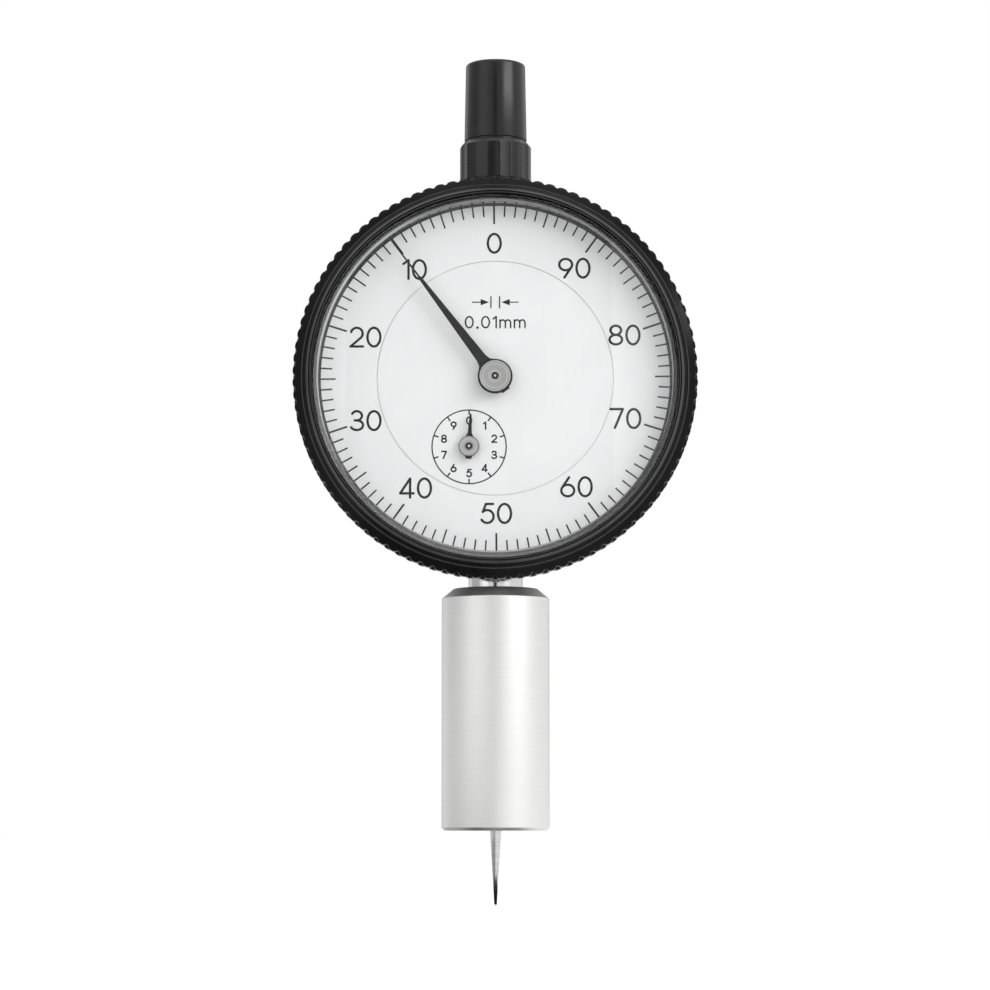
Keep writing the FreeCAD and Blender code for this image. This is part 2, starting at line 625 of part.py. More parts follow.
def make_case():
    """Round case with its front web, the boss for the stem and the neck for the cap."""
    spigot = CASE_RADIUS - SPIGOT_WALL
    seat = INNER_DIAL_DIAMETER / 2 - DIAL_SEAT_SETBACK
    body = turned_dial([
        (0, DIAL_BACK),
        (seat, DIAL_BACK),
        (seat, SPIGOT_FRONT),
        (spigot, SPIGOT_FRONT),
        (spigot, CASE_FRONT),
        (CASE_RADIUS, CASE_FRONT),
        (CASE_RADIUS, CASE_BACK),
        (CAVITY_RADIUS, CASE_BACK),
        (CAVITY_RADIUS, WEB_BACK),
        (0, WEB_BACK),
    ])
    wire_radius = RETAINING_WIRE_DIAMETER / 2
    wire_depth = (SPIGOT_FRONT + CASE_FRONT) / 2
    groove_floor = spigot - wire_radius - FACE_GAP
    groove = turned_dial([
        (groove_floor, wire_depth - wire_radius - GUIDE_GAP),
        (CASE_RADIUS, wire_depth - wire_radius - GUIDE_GAP),
        (CASE_RADIUS, wire_depth + wire_radius + GUIDE_GAP),
        (groove_floor, wire_depth + wire_radius + GUIDE_GAP),
    ])
    boss_half = STEM_RADIUS + STEM_BOSS_WALL
    inside = across(CAVITY_RADIUS + CASE_WALL / 2, WEB_BACK - WEB_THICKNESS / 2, CASE_BACK, DIAL_CENTRE)
    boss = block(
        (-boss_half, boss_half), (WEB_BACK - WEB_THICKNESS / 2, boss_half),
        (CASE_BOTTOM, STEM_BOSS_TOP)).common(inside)
    neck_low = DIAL_HEIGHT + CAVITY_RADIUS + CASE_WALL / 2
    neck = upright(neck_radius(), neck_low, NECK_TOP)
    neck_seat = upright(NECK_SEAT_DIAMETER / 2, neck_low, SEAT_TOP)
    behind_bezel = block(
        (-NECK_SEAT_DIAMETER, NECK_SEAT_DIAMETER), (CASE_FRONT, NECK_SEAT_DIAMETER),
        (neck_low, SEAT_TOP))
    body = body.cut(groove).fuse([boss, neck, neck_seat.common(behind_bezel)]).removeSplitter()

    stem_bore = upright(STEM_RADIUS + SEAT_GAP, CASE_BOTTOM - CASE_WALL, STEM_TOP)
    spindle_hole = upright(SPINDLE_RADIUS + SPINDLE_HOLE_GAP, STEM_TOP, STEM_BOSS_TOP)
    bush_radius = SPINDLE_RADIUS + NECK_BUSH_WALL + SEAT_GAP
    bush_bore = upright(bush_radius, DIAL_HEIGHT + CAVITY_RADIUS - CASE_WALL, NECK_TOP)
    holes = [stem_bore, spindle_hole, bush_bore]
    holes.append(across(CENTRE_BEARING_DIAMETER / 2 + SEAT_GAP, DIAL_BACK, WEB_BACK, DIAL_CENTRE))
    holes.append(across(SMALL_BEARING_DIAMETER / 2 + SEAT_GAP, DIAL_BACK, WEB_BACK, SUB_CENTRE))
    jewel = JEWEL_DIAMETER / 2 + SEAT_GAP
    holes.append(across(jewel, WEB_BACK - JEWEL_THICKNESS, WEB_BACK, TAKEUP_CENTRE))
    for place in BRIDGE_POSTS:
        radius = BRIDGE_SCREW_DIAMETER / 2 + THREAD_GAP
        holes.append(across(radius, WEB_BACK - BRIDGE_SCREW_BITE, WEB_BACK, place))
    for place in PILLARS:
        radius = PILLAR_SPIGOT_DIAMETER / 2 + SEAT_GAP
        holes.append(across(radius, WEB_BACK - PILLAR_SPIGOT_LENGTH, WEB_BACK, place))
    post = (SPRING_X, SPRING_POST_HEIGHT)
    holes.append(across(SPRING_POST_DIAMETER / 2 + SEAT_GAP, WEB_BACK - SPRING_POST_BITE, WEB_BACK, post))
    for place in dial_feet_places():
        holes.append(across(dial_foot_radius() + SEAT_GAP, DIAL_BACK, DIAL_BACK + DIAL_THICKNESS * 2, place))
    for place in cover_screw_places():
        radius = COVER_SCREW_DIAMETER / 2 + THREAD_GAP
        holes.append(across(radius, COVER_BACK - COVER_SCREW_LENGTH - RUN_GAP, CASE_BACK, place))
    add("case_body", cut_all(body, holes))


def make_cover():
    """Rear cover on its gasket, held by screws."""
    screws, cover_holes, gasket_holes = [], [], []
    shank = COVER_SCREW_DIAMETER / 2
    head = COVER_SCREW_HEAD_DIAMETER / 2
    seat = COVER_BACK - COVER_SCREW_HEAD_DEPTH
    tip = COVER_BACK - COVER_SCREW_LENGTH
    for place in cover_screw_places():
        screws.append(slotted_screw(place, seat, head, COVER_SCREW_HEAD_DEPTH, shank, tip))
        through = across(shank + THREAD_GAP, CASE_BACK, seat, place)
        cover_holes.append(through.fuse(across(head + THREAD_GAP, seat, COVER_BACK, place)))
        gasket_holes.append(across(shank + THREAD_GAP, CASE_BACK, COVER_FRONT, place))
    cover = turned_dial([
        (0, COVER_FRONT),
        (CASE_RADIUS, COVER_FRONT),
        (CASE_RADIUS, COVER_BACK - COVER_EDGE),
        (CASE_RADIUS - COVER_EDGE, COVER_BACK),
        (0, COVER_BACK),
    ])
    add("rear_cover", cut_all(cover, cover_holes))
    gasket = across(CASE_RADIUS - SEAT_GAP, CASE_BACK, COVER_FRONT, DIAL_CENTRE)
    opening = across(CAVITY_RADIUS, CASE_BACK, COVER_FRONT, DIAL_CENTRE)
    add("rear_gasket", cut_all(gasket, [opening] + gasket_holes))
    add("rear_cover_screws", *screws)


def knurl_outline(tip, root, first):
    """Closed outline of one row of the finger grip; first is where its first tooth is, in teeth."""
    pitch = 2 * math.pi / KNURL_TEETH
    outline = []
    for tooth in range(KNURL_TEETH):
        middle = pitch * (tooth + first)
        tip_half = pitch * KNURL_TIP_SHARE / 2
        root_half = pitch * KNURL_ROOT_SHARE / 2
        outline.append(polar(DIAL_CENTRE, root, middle - root_half))
        outline.append(polar(DIAL_CENTRE, tip, middle - tip_half))
        outline.append(polar(DIAL_CENTRE, tip, middle + tip_half))
        outline.append(polar(DIAL_CENTRE, root, middle + root_half))
    return outline


def make_bezel():
    """Turning bezel that carries the crystal and the outer dial on the case.

    Its finger grip has two rows of teeth, the back row half a tooth further round.
    """
    root = BEZEL_RADIUS - KNURL_DEPTH
    bore = CASE_RADIUS - SPIGOT_WALL + BEZEL_GAP
    crystal = CRYSTAL_DIAMETER / 2
    crystal_seat = crystal + SEAT_GAP
    lip_inner = crystal_seat + BEZEL_LIP_ROUND
    lip_outer = lip_inner + BEZEL_LIP_WIDTH
    slope_end = lip_outer + BEZEL_SLOPE_WIDTH
    slope_back = BEZEL_FRONT + BEZEL_SLOPE_DEPTH
    knurl_front = slope_back + BEZEL_SHOULDER_DEPTH
    body = turned_dial([
        (crystal_seat, BEZEL_FRONT + BEZEL_LIP_ROUND),
        (lip_inner, BEZEL_FRONT),
        (lip_outer, BEZEL_FRONT),
        (slope_end, slope_back),
        (root, knurl_front),
        (root, BEZEL_BACK),
        (bore, BEZEL_BACK),
        (bore, LEDGE_BACK),
        (crystal - BEZEL_LEDGE_WIDTH, LEDGE_BACK),
        (crystal - BEZEL_LEDGE_WIDTH, DIAL_BACK),
        (crystal_seat, DIAL_BACK),
    ])
    band = turned_dial([
        (bore, knurl_front),
        (root, knurl_front),
        (BEZEL_RADIUS, knurl_front + KNURL_EDGE),
        (BEZEL_RADIUS, BEZEL_BACK - KNURL_EDGE),
        (root, BEZEL_BACK),
        (bore, BEZEL_BACK),
    ])
    bored = across(bore, knurl_front, BEZEL_BACK, DIAL_CENTRE)
    row_end = (knurl_front + BEZEL_BACK) / 2
    front_row = prism(knurl_outline(BEZEL_RADIUS, root, 0.5), knurl_front, row_end)
    back_row = prism(knurl_outline(BEZEL_RADIUS, root, 0.0), row_end, BEZEL_BACK)
    grip = [row.cut(bored).common(band) for row in (front_row, back_row)]
    wire_radius = RETAINING_WIRE_DIAMETER / 2
    wire_depth = (SPIGOT_FRONT + CASE_FRONT) / 2
    wire_path = bore - BEZEL_GAP / 2
    groove_outer = wire_path + wire_radius + GUIDE_GAP
    groove = turned_dial([
        (wire_path, wire_depth - wire_radius - GUIDE_GAP),
        (groove_outer, wire_depth - wire_radius - GUIDE_GAP),
        (groove_outer, wire_depth + wire_radius + GUIDE_GAP),
        (wire_path, wire_depth + wire_radius + GUIDE_GAP),
    ])
    add("bezel_ring", body.fuse(grip).removeSplitter().cut(groove))

    turn = 360.0 - RETAINING_WIRE_GAP_DEG
    start = vec(wire_path, wire_depth, DIAL_HEIGHT)
    section = Part.Face(Part.Wire(Part.makeCircle(wire_radius, start, Z_AXIS)))
    add("bezel_retaining_wire", section.revolve(vec(0, 0, DIAL_HEIGHT), Y_AXIS, turn))

    inner = crystal - CRYSTAL_WALL
    add("crystal", turned_dial([
        (0, CRYSTAL_FRONT),
        (crystal - CRYSTAL_CHAMFER, CRYSTAL_FRONT),
        (crystal, CRYSTAL_FRONT + CRYSTAL_CHAMFER),
        (crystal, DIAL_FACE),
        (inner, DIAL_FACE),
        (inner, CRYSTAL_INNER),
        (0, CRYSTAL_INNER),
    ]))
    outer_dial = across(crystal, DIAL_FACE, DIAL_BACK, DIAL_CENTRE)
    window = across(INNER_DIAL_DIAMETER / 2 + DIAL_SPLIT, DIAL_FACE, DIAL_BACK, DIAL_CENTRE)
    add("outer_dial", outer_dial.cut(window))


def dial_foot_radius():
    return DIAL_THICKNESS * 1.25


def dial_feet_places():
    reach = INNER_DIAL_DIAMETER / 2 - DIAL_SEAT_SETBACK - 3 * dial_foot_radius()
    return [polar(DIAL_CENTRE, reach, math.radians(angle)) for angle in (135.0, 225.0)]


def make_inner_dial():
    """Fixed dial in the middle, with the turns counter, on two feet in the case web."""
    disc = across(INNER_DIAL_DIAMETER / 2, DIAL_FACE, DIAL_BACK, DIAL_CENTRE)
    feet = [across(dial_foot_radius(), DIAL_BACK - DIAL_THICKNESS / 2, DIAL_BACK + DIAL_THICKNESS * 1.5, place)
            for place in dial_feet_places()]
    centre_hole = across(CENTRE_BEARING_DIAMETER / 2, DIAL_FACE, DIAL_BACK, DIAL_CENTRE)
    small_hole = across(SMALL_BEARING_DIAMETER / 2, DIAL_FACE, DIAL_BACK, SUB_CENTRE)
    add("inner_dial", disc.fuse(feet).removeSplitter().cut(centre_hole).cut(small_hole))


def bearing(name, outer_radius, centre):
    outer = across(outer_radius, DIAL_BACK, WEB_BACK, centre)
    bore = across(BEARING_JOURNAL_DIAMETER / 2 + PIVOT_GAP, DIAL_BACK, WEB_BACK, centre)
    add(name, outer.cut(bore))


def jewel(centre, front):
    """Bearing jewel whose front face is at a given depth."""
    disc = across(JEWEL_DIAMETER / 2, front, front + JEWEL_THICKNESS, centre)
    return disc.cut(across(PIVOT_DIAMETER / 2 + PIVOT_GAP, front, front + JEWEL_THICKNESS, centre))


def make_movement_frame():
    """Front bridge, rear plate, their posts, screws and bearings."""
    bearing("centre_bearing", CENTRE_BEARING_DIAMETER / 2, DIAL_CENTRE)
    bearing("small_hand_bearing", SMALL_BEARING_DIAMETER / 2, SUB_CENTRE)
    add("pivot_jewels",
        jewel(DIAL_CENTRE, BRIDGE_BACK - JEWEL_THICKNESS),
        jewel(TAKEUP_CENTRE, WEB_BACK - JEWEL_THICKNESS),
        jewel(TAKEUP_CENTRE, PLATE_FRONT),
        jewel(SUB_CENTRE, PLATE_FRONT))

    bridge = rounded_bar(*BRIDGE_POSTS, BRIDGE_WIDTH, BRIDGE_FRONT, BRIDGE_BACK)
    screw = BRIDGE_SCREW_DIAMETER / 2
    holes = [across(JEWEL_DIAMETER / 2 + SEAT_GAP, BRIDGE_FRONT, BRIDGE_BACK, DIAL_CENTRE)]
    holes += [across(screw + THREAD_GAP, BRIDGE_FRONT, BRIDGE_BACK, place) for place in BRIDGE_POSTS]
    add("movement_bridge", cut_all(bridge, holes))
    posts, screws = [], []
    for place in BRIDGE_POSTS:
        post = across(BRIDGE_POST_DIAMETER / 2, WEB_BACK, BRIDGE_FRONT, place)
        posts.append(post.cut(across(screw + THREAD_GAP, WEB_BACK, BRIDGE_FRONT, place)))
        screws.append(slotted_screw(
            place, BRIDGE_BACK, BRIDGE_SCREW_HEAD_DIAMETER / 2, BRIDGE_SCREW_HEAD_DEPTH,
            screw, WEB_BACK - BRIDGE_SCREW_BITE))
    add("bridge_posts", *posts)
    add("bridge_screws", *screws)

    corners = block(
        (-PLATE_HALF_WIDTH, PLATE_HALF_WIDTH), (PLATE_FRONT, PLATE_BACK),
        (DIAL_HEIGHT - PLATE_BELOW, DIAL_HEIGHT + PLATE_ABOVE))
    upright_edges = [edge for edge in corners.Edges if abs(edge.tangentAt(0).y) > 0.99]
    plate = corners.makeFillet(PLATE_CORNER, upright_edges)
    plate = plate.common(across(CAVITY_RADIUS - CASE_WALL / 2, PLATE_FRONT, PLATE_BACK, DIAL_CENTRE))
    holes = [across(JEWEL_DIAMETER / 2 + SEAT_GAP, PLATE_FRONT, PLATE_BACK, place)
             for place in (SUB_CENTRE, TAKEUP_CENTRE)]
    screw = PLATE_SCREW_DIAMETER / 2
    holes += [across(screw + THREAD_GAP, PLATE_FRONT, PLATE_BACK, place) for place in PILLARS]
    guide = GUIDE_SCREW_DIAMETER / 2
    holes += [across(guide + THREAD_GAP, PLATE_FRONT, PLATE_BACK, place) for place in guide_screw_places()]
    holes.append(across(STUD_DIAMETER / 2 + SEAT_GAP, PLATE_FRONT, PLATE_BACK, stud_centre()))
    add("movement_plate", cut_all(plate, holes))
    pillars, screws = [], []
    for place in PILLARS:
        pillar = across(PILLAR_DIAMETER / 2, WEB_BACK, PLATE_FRONT, place)
        spigot = across(PILLAR_SPIGOT_DIAMETER / 2, WEB_BACK - PILLAR_SPIGOT_LENGTH, WEB_BACK, place)
        thread = across(screw + THREAD_GAP, PLATE_FRONT - PLATE_SCREW_BITE - RUN_GAP, PLATE_FRONT, place)
        pillars.append(pillar.fuse(spigot).removeSplitter().cut(thread))
        screws.append(slotted_screw(
            place, PLATE_BACK, PLATE_SCREW_HEAD_DIAMETER / 2, PLATE_SCREW_HEAD_DEPTH,
            screw, PLATE_FRONT - PLATE_SCREW_BITE))
    add("plate_pillars", *pillars)
    add("plate_screws", *screws)


def arbor(centre, steps):
    """Stepped shaft along Y from (radius, front, back) steps."""
    parts = [across(radius, front, back, centre) for radius, front, back in steps]
    return parts[0].fuse(parts[1:]).removeSplitter()


def angle_between(start, end):
    return math.atan2(end[1] - start[1], end[0] - start[0])


def pinion_dedendum():
    return GEAR_ADDENDUM_SHARE + TOOTH_ROOT_SHARE


def big_gear(centre, tooth_angle):
    """Hundred-tooth wheel at the gear layer, bored for its arbor."""
    outline = toothed_outline(
        centre, GEAR_TEETH, GEAR_MODULE, GEAR_ADDENDUM_SHARE,
        PINION_ADDENDUM_SHARE + TOOTH_ROOT_SHARE, tooth_angle, 2)
    wheel = prism(outline, GEAR_FRONT, GEAR_BACK)
    return wheel.cut(across(ARBOR_DIAMETER / 2 + SEAT_GAP, GEAR_FRONT, GEAR_BACK, centre))


def make_gear_train():
    """Rack pinion and drive gear, centre pinion, and the gear that takes up the backlash."""
    journal = BEARING_JOURNAL_DIAMETER / 2
    seat = HAND_SEAT_DIAMETER / 2
    pivot = PIVOT_DIAMETER / 2
    shaft = ARBOR_DIAMETER / 2

    centre_step = math.pi / CENTRE_PINION_TEETH
    to_drive = angle_between(DIAL_CENTRE, SUB_CENTRE)
    outline = toothed_outline(
        DIAL_CENTRE, CENTRE_PINION_TEETH, GEAR_MODULE, PINION_ADDENDUM_SHARE,
        pinion_dedendum(), to_drive + centre_step, 5)
    teeth_front = WEB_BACK + GEAR_GAP / 2
    teeth_back = BRIDGE_FRONT - RUN_GAP / 2
    teeth = prism(outline, teeth_front, teeth_back)
    spindle_parts = arbor(DIAL_CENTRE, [
        (seat, LONG_HUB_FACE - ARBOR_TIP_STAND, DIAL_FACE - RUN_GAP),
        (journal, DIAL_FACE - RUN_GAP, teeth_back),
        (pivot, teeth_back, BRIDGE_BACK),
    ])
    add("centre_pinion", teeth.fuse(spindle_parts).removeSplitter())

    outline = toothed_outline(
        SUB_CENTRE, RACK_PINION_TEETH, RACK_MODULE, PINION_ADDENDUM_SHARE,
        RACK_ADDENDUM_SHARE + TOOTH_ROOT_SHARE, 0.0, 5)
    half = RACK_PINION_LENGTH / 2
    teeth = prism(outline, -half, half)
    shoulder = PLATE_FRONT - PIVOT_GAP
    shaft_parts = arbor(SUB_CENTRE, [
        (seat, SMALL_HUB_FACE - ARBOR_TIP_STAND, DIAL_FACE - RUN_GAP),
        (journal, DIAL_FACE - RUN_GAP, WEB_BACK + PIVOT_GAP),
        (shaft, WEB_BACK + PIVOT_GAP, shoulder),
        (pivot, shoulder, PLATE_FRONT + JEWEL_THICKNESS),
    ])
    add("rack_pinion", teeth.fuse(shaft_parts).removeSplitter())
    add("drive_gear", big_gear(SUB_CENTRE, angle_between(SUB_CENTRE, DIAL_CENTRE)))

    # The pinion's nearest tooth space, seen from its axis, stands off the line to this gear
    offset = (to_drive - TAKEUP_ANGLE) % (2 * centre_step)
    if offset > centre_step:
        offset -= 2 * centre_step
    tooth_angle = TAKEUP_ANGLE + math.pi - offset * CENTRE_PINION_TEETH / GEAR_TEETH
    add("takeup_gear", big_gear(TAKEUP_CENTRE, tooth_angle))
    add("takeup_arbor", arbor(TAKEUP_CENTRE, [
        (pivot, WEB_BACK - JEWEL_THICKNESS, WEB_BACK + PIVOT_GAP),
        (shaft, WEB_BACK + PIVOT_GAP, shoulder),
        (pivot, shoulder, PLATE_FRONT + JEWEL_THICKNESS),
    ]))


def hand_outline(centre, angle, stations):
    """Closed (x, z) outline of a pointer from (distance, half width) stations along its angle."""
    along = (math.cos(angle), math.sin(angle))
    side = (-along[1], along[0])
    left = [(centre[0] + d * along[0] + w * side[0], centre[1] + d * along[1] + w * side[1])
            for d, w in stations]
    right = [(centre[0] + d * along[0] - w * side[0], centre[1] + d * along[1] - w * side[1])
             for d, w in reversed(stations)]
    return left + right


def make_hands():
    """Long hand and the small turns hand, each on its turned hub."""
    up = math.pi / 2
    seat = HAND_SEAT_DIAMETER / 2
    disc = LONG_HAND_DISC_DIAMETER / 2
    angle = up + math.radians(LONG_HAND_ANGLE_DEG)
    boss = disc / 2
    back = LONG_HAND_FACE + LONG_HAND_THICKNESS
    flare = LONG_HAND_FLARE_WIDTH / 2
    neck = LONG_HAND_LENGTH * LONG_HAND_NECK_SHARE
    blade = prism(hand_outline(DIAL_CENTRE, angle, [
        (-disc - LONG_HAND_TAIL, LONG_HAND_TAIL_WIDTH / 2),
        (0.0, LONG_HAND_TAIL_WIDTH / 2),
        (math.sqrt(disc ** 2 - flare ** 2), flare),
        (disc, (flare + LONG_HAND_WIDTH) / 3),
        (disc + LONG_HAND_FLARE_LENGTH, LONG_HAND_WIDTH / 2),
        (neck, LONG_HAND_NECK_WIDTH / 2),
        (neck + LONG_HAND_NECK_LENGTH, LONG_HAND_BLADE_WIDTH / 2),
        (LONG_HAND_LENGTH, LONG_HAND_TIP_WIDTH / 2),
    ]), LONG_HAND_FACE, back)
    plate = across(disc, LONG_HAND_FACE, back, DIAL_CENTRE)
    hand = blade.fuse(plate).removeSplitter()
    add("long_hand", hand.cut(across(boss + SEAT_GAP, LONG_HAND_FACE, back, DIAL_CENTRE)))
    hub = arbor(DIAL_CENTRE, [
        (LONG_HUB_DIAMETER / 2, LONG_HUB_FACE, LONG_HAND_FACE),
        (boss, LONG_HAND_FACE, DIAL_FACE - 2 * RUN_GAP),
    ])
    add("long_hand_hub", hub.cut(across(seat + SEAT_GAP, LONG_HUB_FACE, DIAL_FACE, DIAL_CENTRE)))

    angle = up + math.radians(SMALL_HAND_ANGLE_DEG)
    hub_radius = SMALL_HUB_DIAMETER / 2
    boss = hub_radius / 2
    back = SMALL_HAND_FACE + SMALL_HAND_THICKNESS
    disc = SMALL_HAND_DISC_DIAMETER / 2
    flare = SMALL_HAND_FLARE_WIDTH / 2
    edge = math.sqrt(disc ** 2 - flare ** 2)
    blade = prism(hand_outline(SUB_CENTRE, angle, [
        (-SMALL_HAND_TAIL, SMALL_HAND_TAIL_WIDTH / 2),
        (-edge, flare),
        (edge, flare),
        (disc + SMALL_HAND_FLARE_LENGTH, SMALL_HAND_WIDTH / 2),
        (SMALL_HAND_LENGTH, SMALL_HAND_TIP_WIDTH / 2),
    ]), SMALL_HAND_FACE, back)
    plate = across(disc, SMALL_HAND_FACE, back, SUB_CENTRE)
    hand = blade.fuse(plate).removeSplitter()
    add("small_hand", hand.cut(across(boss + SEAT_GAP, SMALL_HAND_FACE, back, SUB_CENTRE)))
    hub = arbor(SUB_CENTRE, [
        (hub_radius, SMALL_HUB_FACE, SMALL_HAND_FACE),
        (boss, SMALL_HAND_FACE, DIAL_FACE - 2 * RUN_GAP),
    ])
    add("small_hand_hub", hub.cut(across(seat + SEAT_GAP, SMALL_HUB_FACE, DIAL_FACE, SUB_CENTRE)))


def guide_rail_x():
    low = SPINDLE_RADIUS + GUIDE_RAIL_STANDOFF
    return low, low + GUIDE_RAIL_WIDTH


def guide_screw_places():
    low, high = guide_rail_x()
    middle = (low + high) / 2
    return [(middle, GUIDE_PIN_HEIGHT + share * TRAVEL) for share in (0.15, 0.85)]


def make_guide():
    """Slotted rail that keeps the spindle from turning and stops it at both ends."""
    half_slot = GUIDE_PIN_DIAMETER / 2 + GUIDE_GAP
    slot_low = GUIDE_PIN_HEIGHT - half_slot
    slot_high = GUIDE_PIN_HEIGHT + TRAVEL + half_slot
    x_range = guide_rail_x()
    rail = block(x_range, (-half_slot - GUIDE_RAIL_CHEEK, PLATE_FRONT),
                 (slot_low - GUIDE_RAIL_END, slot_high + GUIDE_RAIL_END))
    slot = block((x_range[0] - 1, x_range[1] + 1), (-half_slot, half_slot), (slot_low, slot_high))
    screw = GUIDE_SCREW_DIAMETER / 2
    tip = PLATE_FRONT - GUIDE_SCREW_BITE
    rail = rail.cut(slot)
    screws = []
    for place in guide_screw_places():
        rail = rail.cut(across(screw + THREAD_GAP, tip - THREAD_GAP, PLATE_FRONT, place))
        screws.append(slotted_screw(
            place, PLATE_BACK, GUIDE_SCREW_HEAD_DIAMETER / 2, GUIDE_SCREW_HEAD_DEPTH, screw, tip))
    add("guide_rail", rail)
    add("guide_rail_screws", *screws)


def make_return_spring():
    """Extension spring from the fixed post up to the guide pin; it pulls the spindle out."""
    post = (SPRING_X, SPRING_POST_HEIGHT)
    post_radius = SPRING_POST_DIAMETER / 2
    add("spring_post", across(post_radius, WEB_BACK - SPRING_POST_BITE, SPRING_COIL_DIAMETER / 2, post))

    wire = SPRING_WIRE_DIAMETER / 2
    mean = SPRING_COIL_DIAMETER / 2 - wire
    pin_radius = GUIDE_PIN_DIAMETER / 2
    lower_eye = post_radius + SPRING_HOOK_GAP + wire
    upper_eye = pin_radius + SPRING_HOOK_GAP + wire
    coil_low = SPRING_POST_HEIGHT + lower_eye + wire + SPRING_WIRE_DIAMETER
    coil_high = GUIDE_PIN_HEIGHT - upper_eye - wire - SPRING_WIRE_DIAMETER
    helix = Part.makeHelix(SPRING_PITCH, coil_high - coil_low, mean)
    helix.translate(vec(SPRING_X, 0, coil_low))
    start = helix.Edges[0].valueAt(helix.Edges[0].FirstParameter)
    along = helix.Edges[0].tangentAt(helix.Edges[0].FirstParameter)
    section = Part.Wire(Part.makeCircle(wire, start, along))
    coil = Part.Wire(helix.Edges).makePipeShell([section], True, True)
    lower = Part.makeTorus(lower_eye, wire, vec(SPRING_X, 0, SPRING_POST_HEIGHT), Y_AXIS)
    upper = Part.makeTorus(upper_eye, wire, vec(SPRING_X, 0, GUIDE_PIN_HEIGHT), X_AXIS)
    # Each eye is joined to the coil by a straight leg that crosses the last turn
    low_leg = block(
        (SPRING_X - wire, SPRING_X + mean), (-wire, wire),
        (SPRING_POST_HEIGHT + lower_eye - wire, coil_low + wire))
    turns = (coil_high - coil_low) / SPRING_PITCH
    end_angle = 2 * math.pi * turns
    high_leg = block(
        (-wire, mean), (-wire, wire), (coil_high - wire, GUIDE_PIN_HEIGHT - upper_eye + wire))
    high_leg.rotate(vec(0, 0, 0), Z_AXIS, math.degrees(end_angle))
    high_leg.translate(vec(SPRING_X, 0, 0))
    add("return_spring", coil.fuse([lower, upper, low_leg, high_leg]))


def hairspring_depths():
    back = PLATE_FRONT - HAIRSPRING_SETBACK
    return back - HAIRSPRING_HEIGHT, back


def stud_centre():
    reach = (HAIRSPRING_DIAMETER + HAIRSPRING_STRIP + STUD_DIAMETER) / 2
    return polar(TAKEUP_CENTRE, reach, 0.0)


def make_hairspring():
    """Flat spiral that keeps the train pressed one way, on its collet and stud."""
    front, back = hairspring_depths()
    collet = across(COLLET_DIAMETER / 2, front, back, TAKEUP_CENTRE)
    add("hairspring_collet", collet.cut(across(ARBOR_DIAMETER / 2 + SEAT_GAP, front, back, TAKEUP_CENTRE)))
    inner = COLLET_DIAMETER / 2 + HAIRSPRING_STRIP
    outer = HAIRSPRING_DIAMETER / 2
    half = HAIRSPRING_STRIP / 2
    steps = int(HAIRSPRING_TURNS * 12)
    start_angle = -2 * math.pi * HAIRSPRING_TURNS

    def spiral(side):
        points = []
        for step in range(steps + 1):
            share = step / steps
            radius = inner + (outer - inner) * share + side * half
            x, z = polar(TAKEUP_CENTRE, radius, start_angle * (1 - share))
            points.append(vec(x, front, z))
        curve = Part.BSplineCurve()
        curve.interpolate(points)
        return curve.toShape(), points

    near, near_points = spiral(-1)
    far, far_points = spiral(1)
    end_inner = Part.LineSegment(near_points[0], far_points[0]).toShape()
    end_outer = Part.LineSegment(near_points[-1], far_points[-1]).toShape()
    outline = Part.Wire([near, end_outer, far, end_inner])
    add("hairspring", Part.Face(outline).extrude(vec(0, back - front, 0)))
    add("hairspring_stud", across(STUD_DIAMETER / 2, front, PLATE_BACK, stud_centre()))


def main():
    make_base()
    make_needle()
    make_spindle()
    make_stem()
    make_cap()
    make_case()
    make_cover()
    make_bezel()
    make_inner_dial()
    make_movement_frame()
    make_gear_train()
    make_hands()
    make_guide()
    make_return_spring()
    make_hairspring()
    os.makedirs("parts", exist_ok=True)
    for name, shape in sorted(NODES.items()):
        shape.exportStep(os.path.join("parts", name + ".step"))
        print(name, len(shape.Solids), "solids", round(shape.Volume, 3), "mm3", shape.isValid())


main()
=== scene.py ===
import math

import bmesh
import bpy
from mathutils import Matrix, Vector
from mathutils.geometry import delaunay_2d_cdt


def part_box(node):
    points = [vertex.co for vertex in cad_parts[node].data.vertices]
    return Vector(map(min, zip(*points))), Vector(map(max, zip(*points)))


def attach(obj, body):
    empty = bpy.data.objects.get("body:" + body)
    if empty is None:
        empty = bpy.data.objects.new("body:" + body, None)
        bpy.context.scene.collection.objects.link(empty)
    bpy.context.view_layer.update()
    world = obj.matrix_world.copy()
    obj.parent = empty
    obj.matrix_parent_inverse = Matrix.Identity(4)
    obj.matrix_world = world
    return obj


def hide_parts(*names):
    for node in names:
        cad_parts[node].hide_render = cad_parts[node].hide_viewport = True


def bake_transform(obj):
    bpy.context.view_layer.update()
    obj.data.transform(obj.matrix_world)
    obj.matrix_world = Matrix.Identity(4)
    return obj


# Dial depth gauge. The frame is in metres, with +Z up along the spindle and the dial facing -Y.
# Sizes below are millimetres; the mesh builders turn them into metres.
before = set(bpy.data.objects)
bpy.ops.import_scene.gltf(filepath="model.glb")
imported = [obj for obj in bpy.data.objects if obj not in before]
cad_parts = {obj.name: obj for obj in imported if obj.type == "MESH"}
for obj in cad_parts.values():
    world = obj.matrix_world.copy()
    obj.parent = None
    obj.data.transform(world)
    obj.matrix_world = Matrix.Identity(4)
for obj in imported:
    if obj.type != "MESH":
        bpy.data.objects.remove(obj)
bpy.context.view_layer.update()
MM = 0.001


def span(node):
    """Lowest and highest corner of a CAD node in millimetres."""
    low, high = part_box(node)
    return low / MM, high / MM


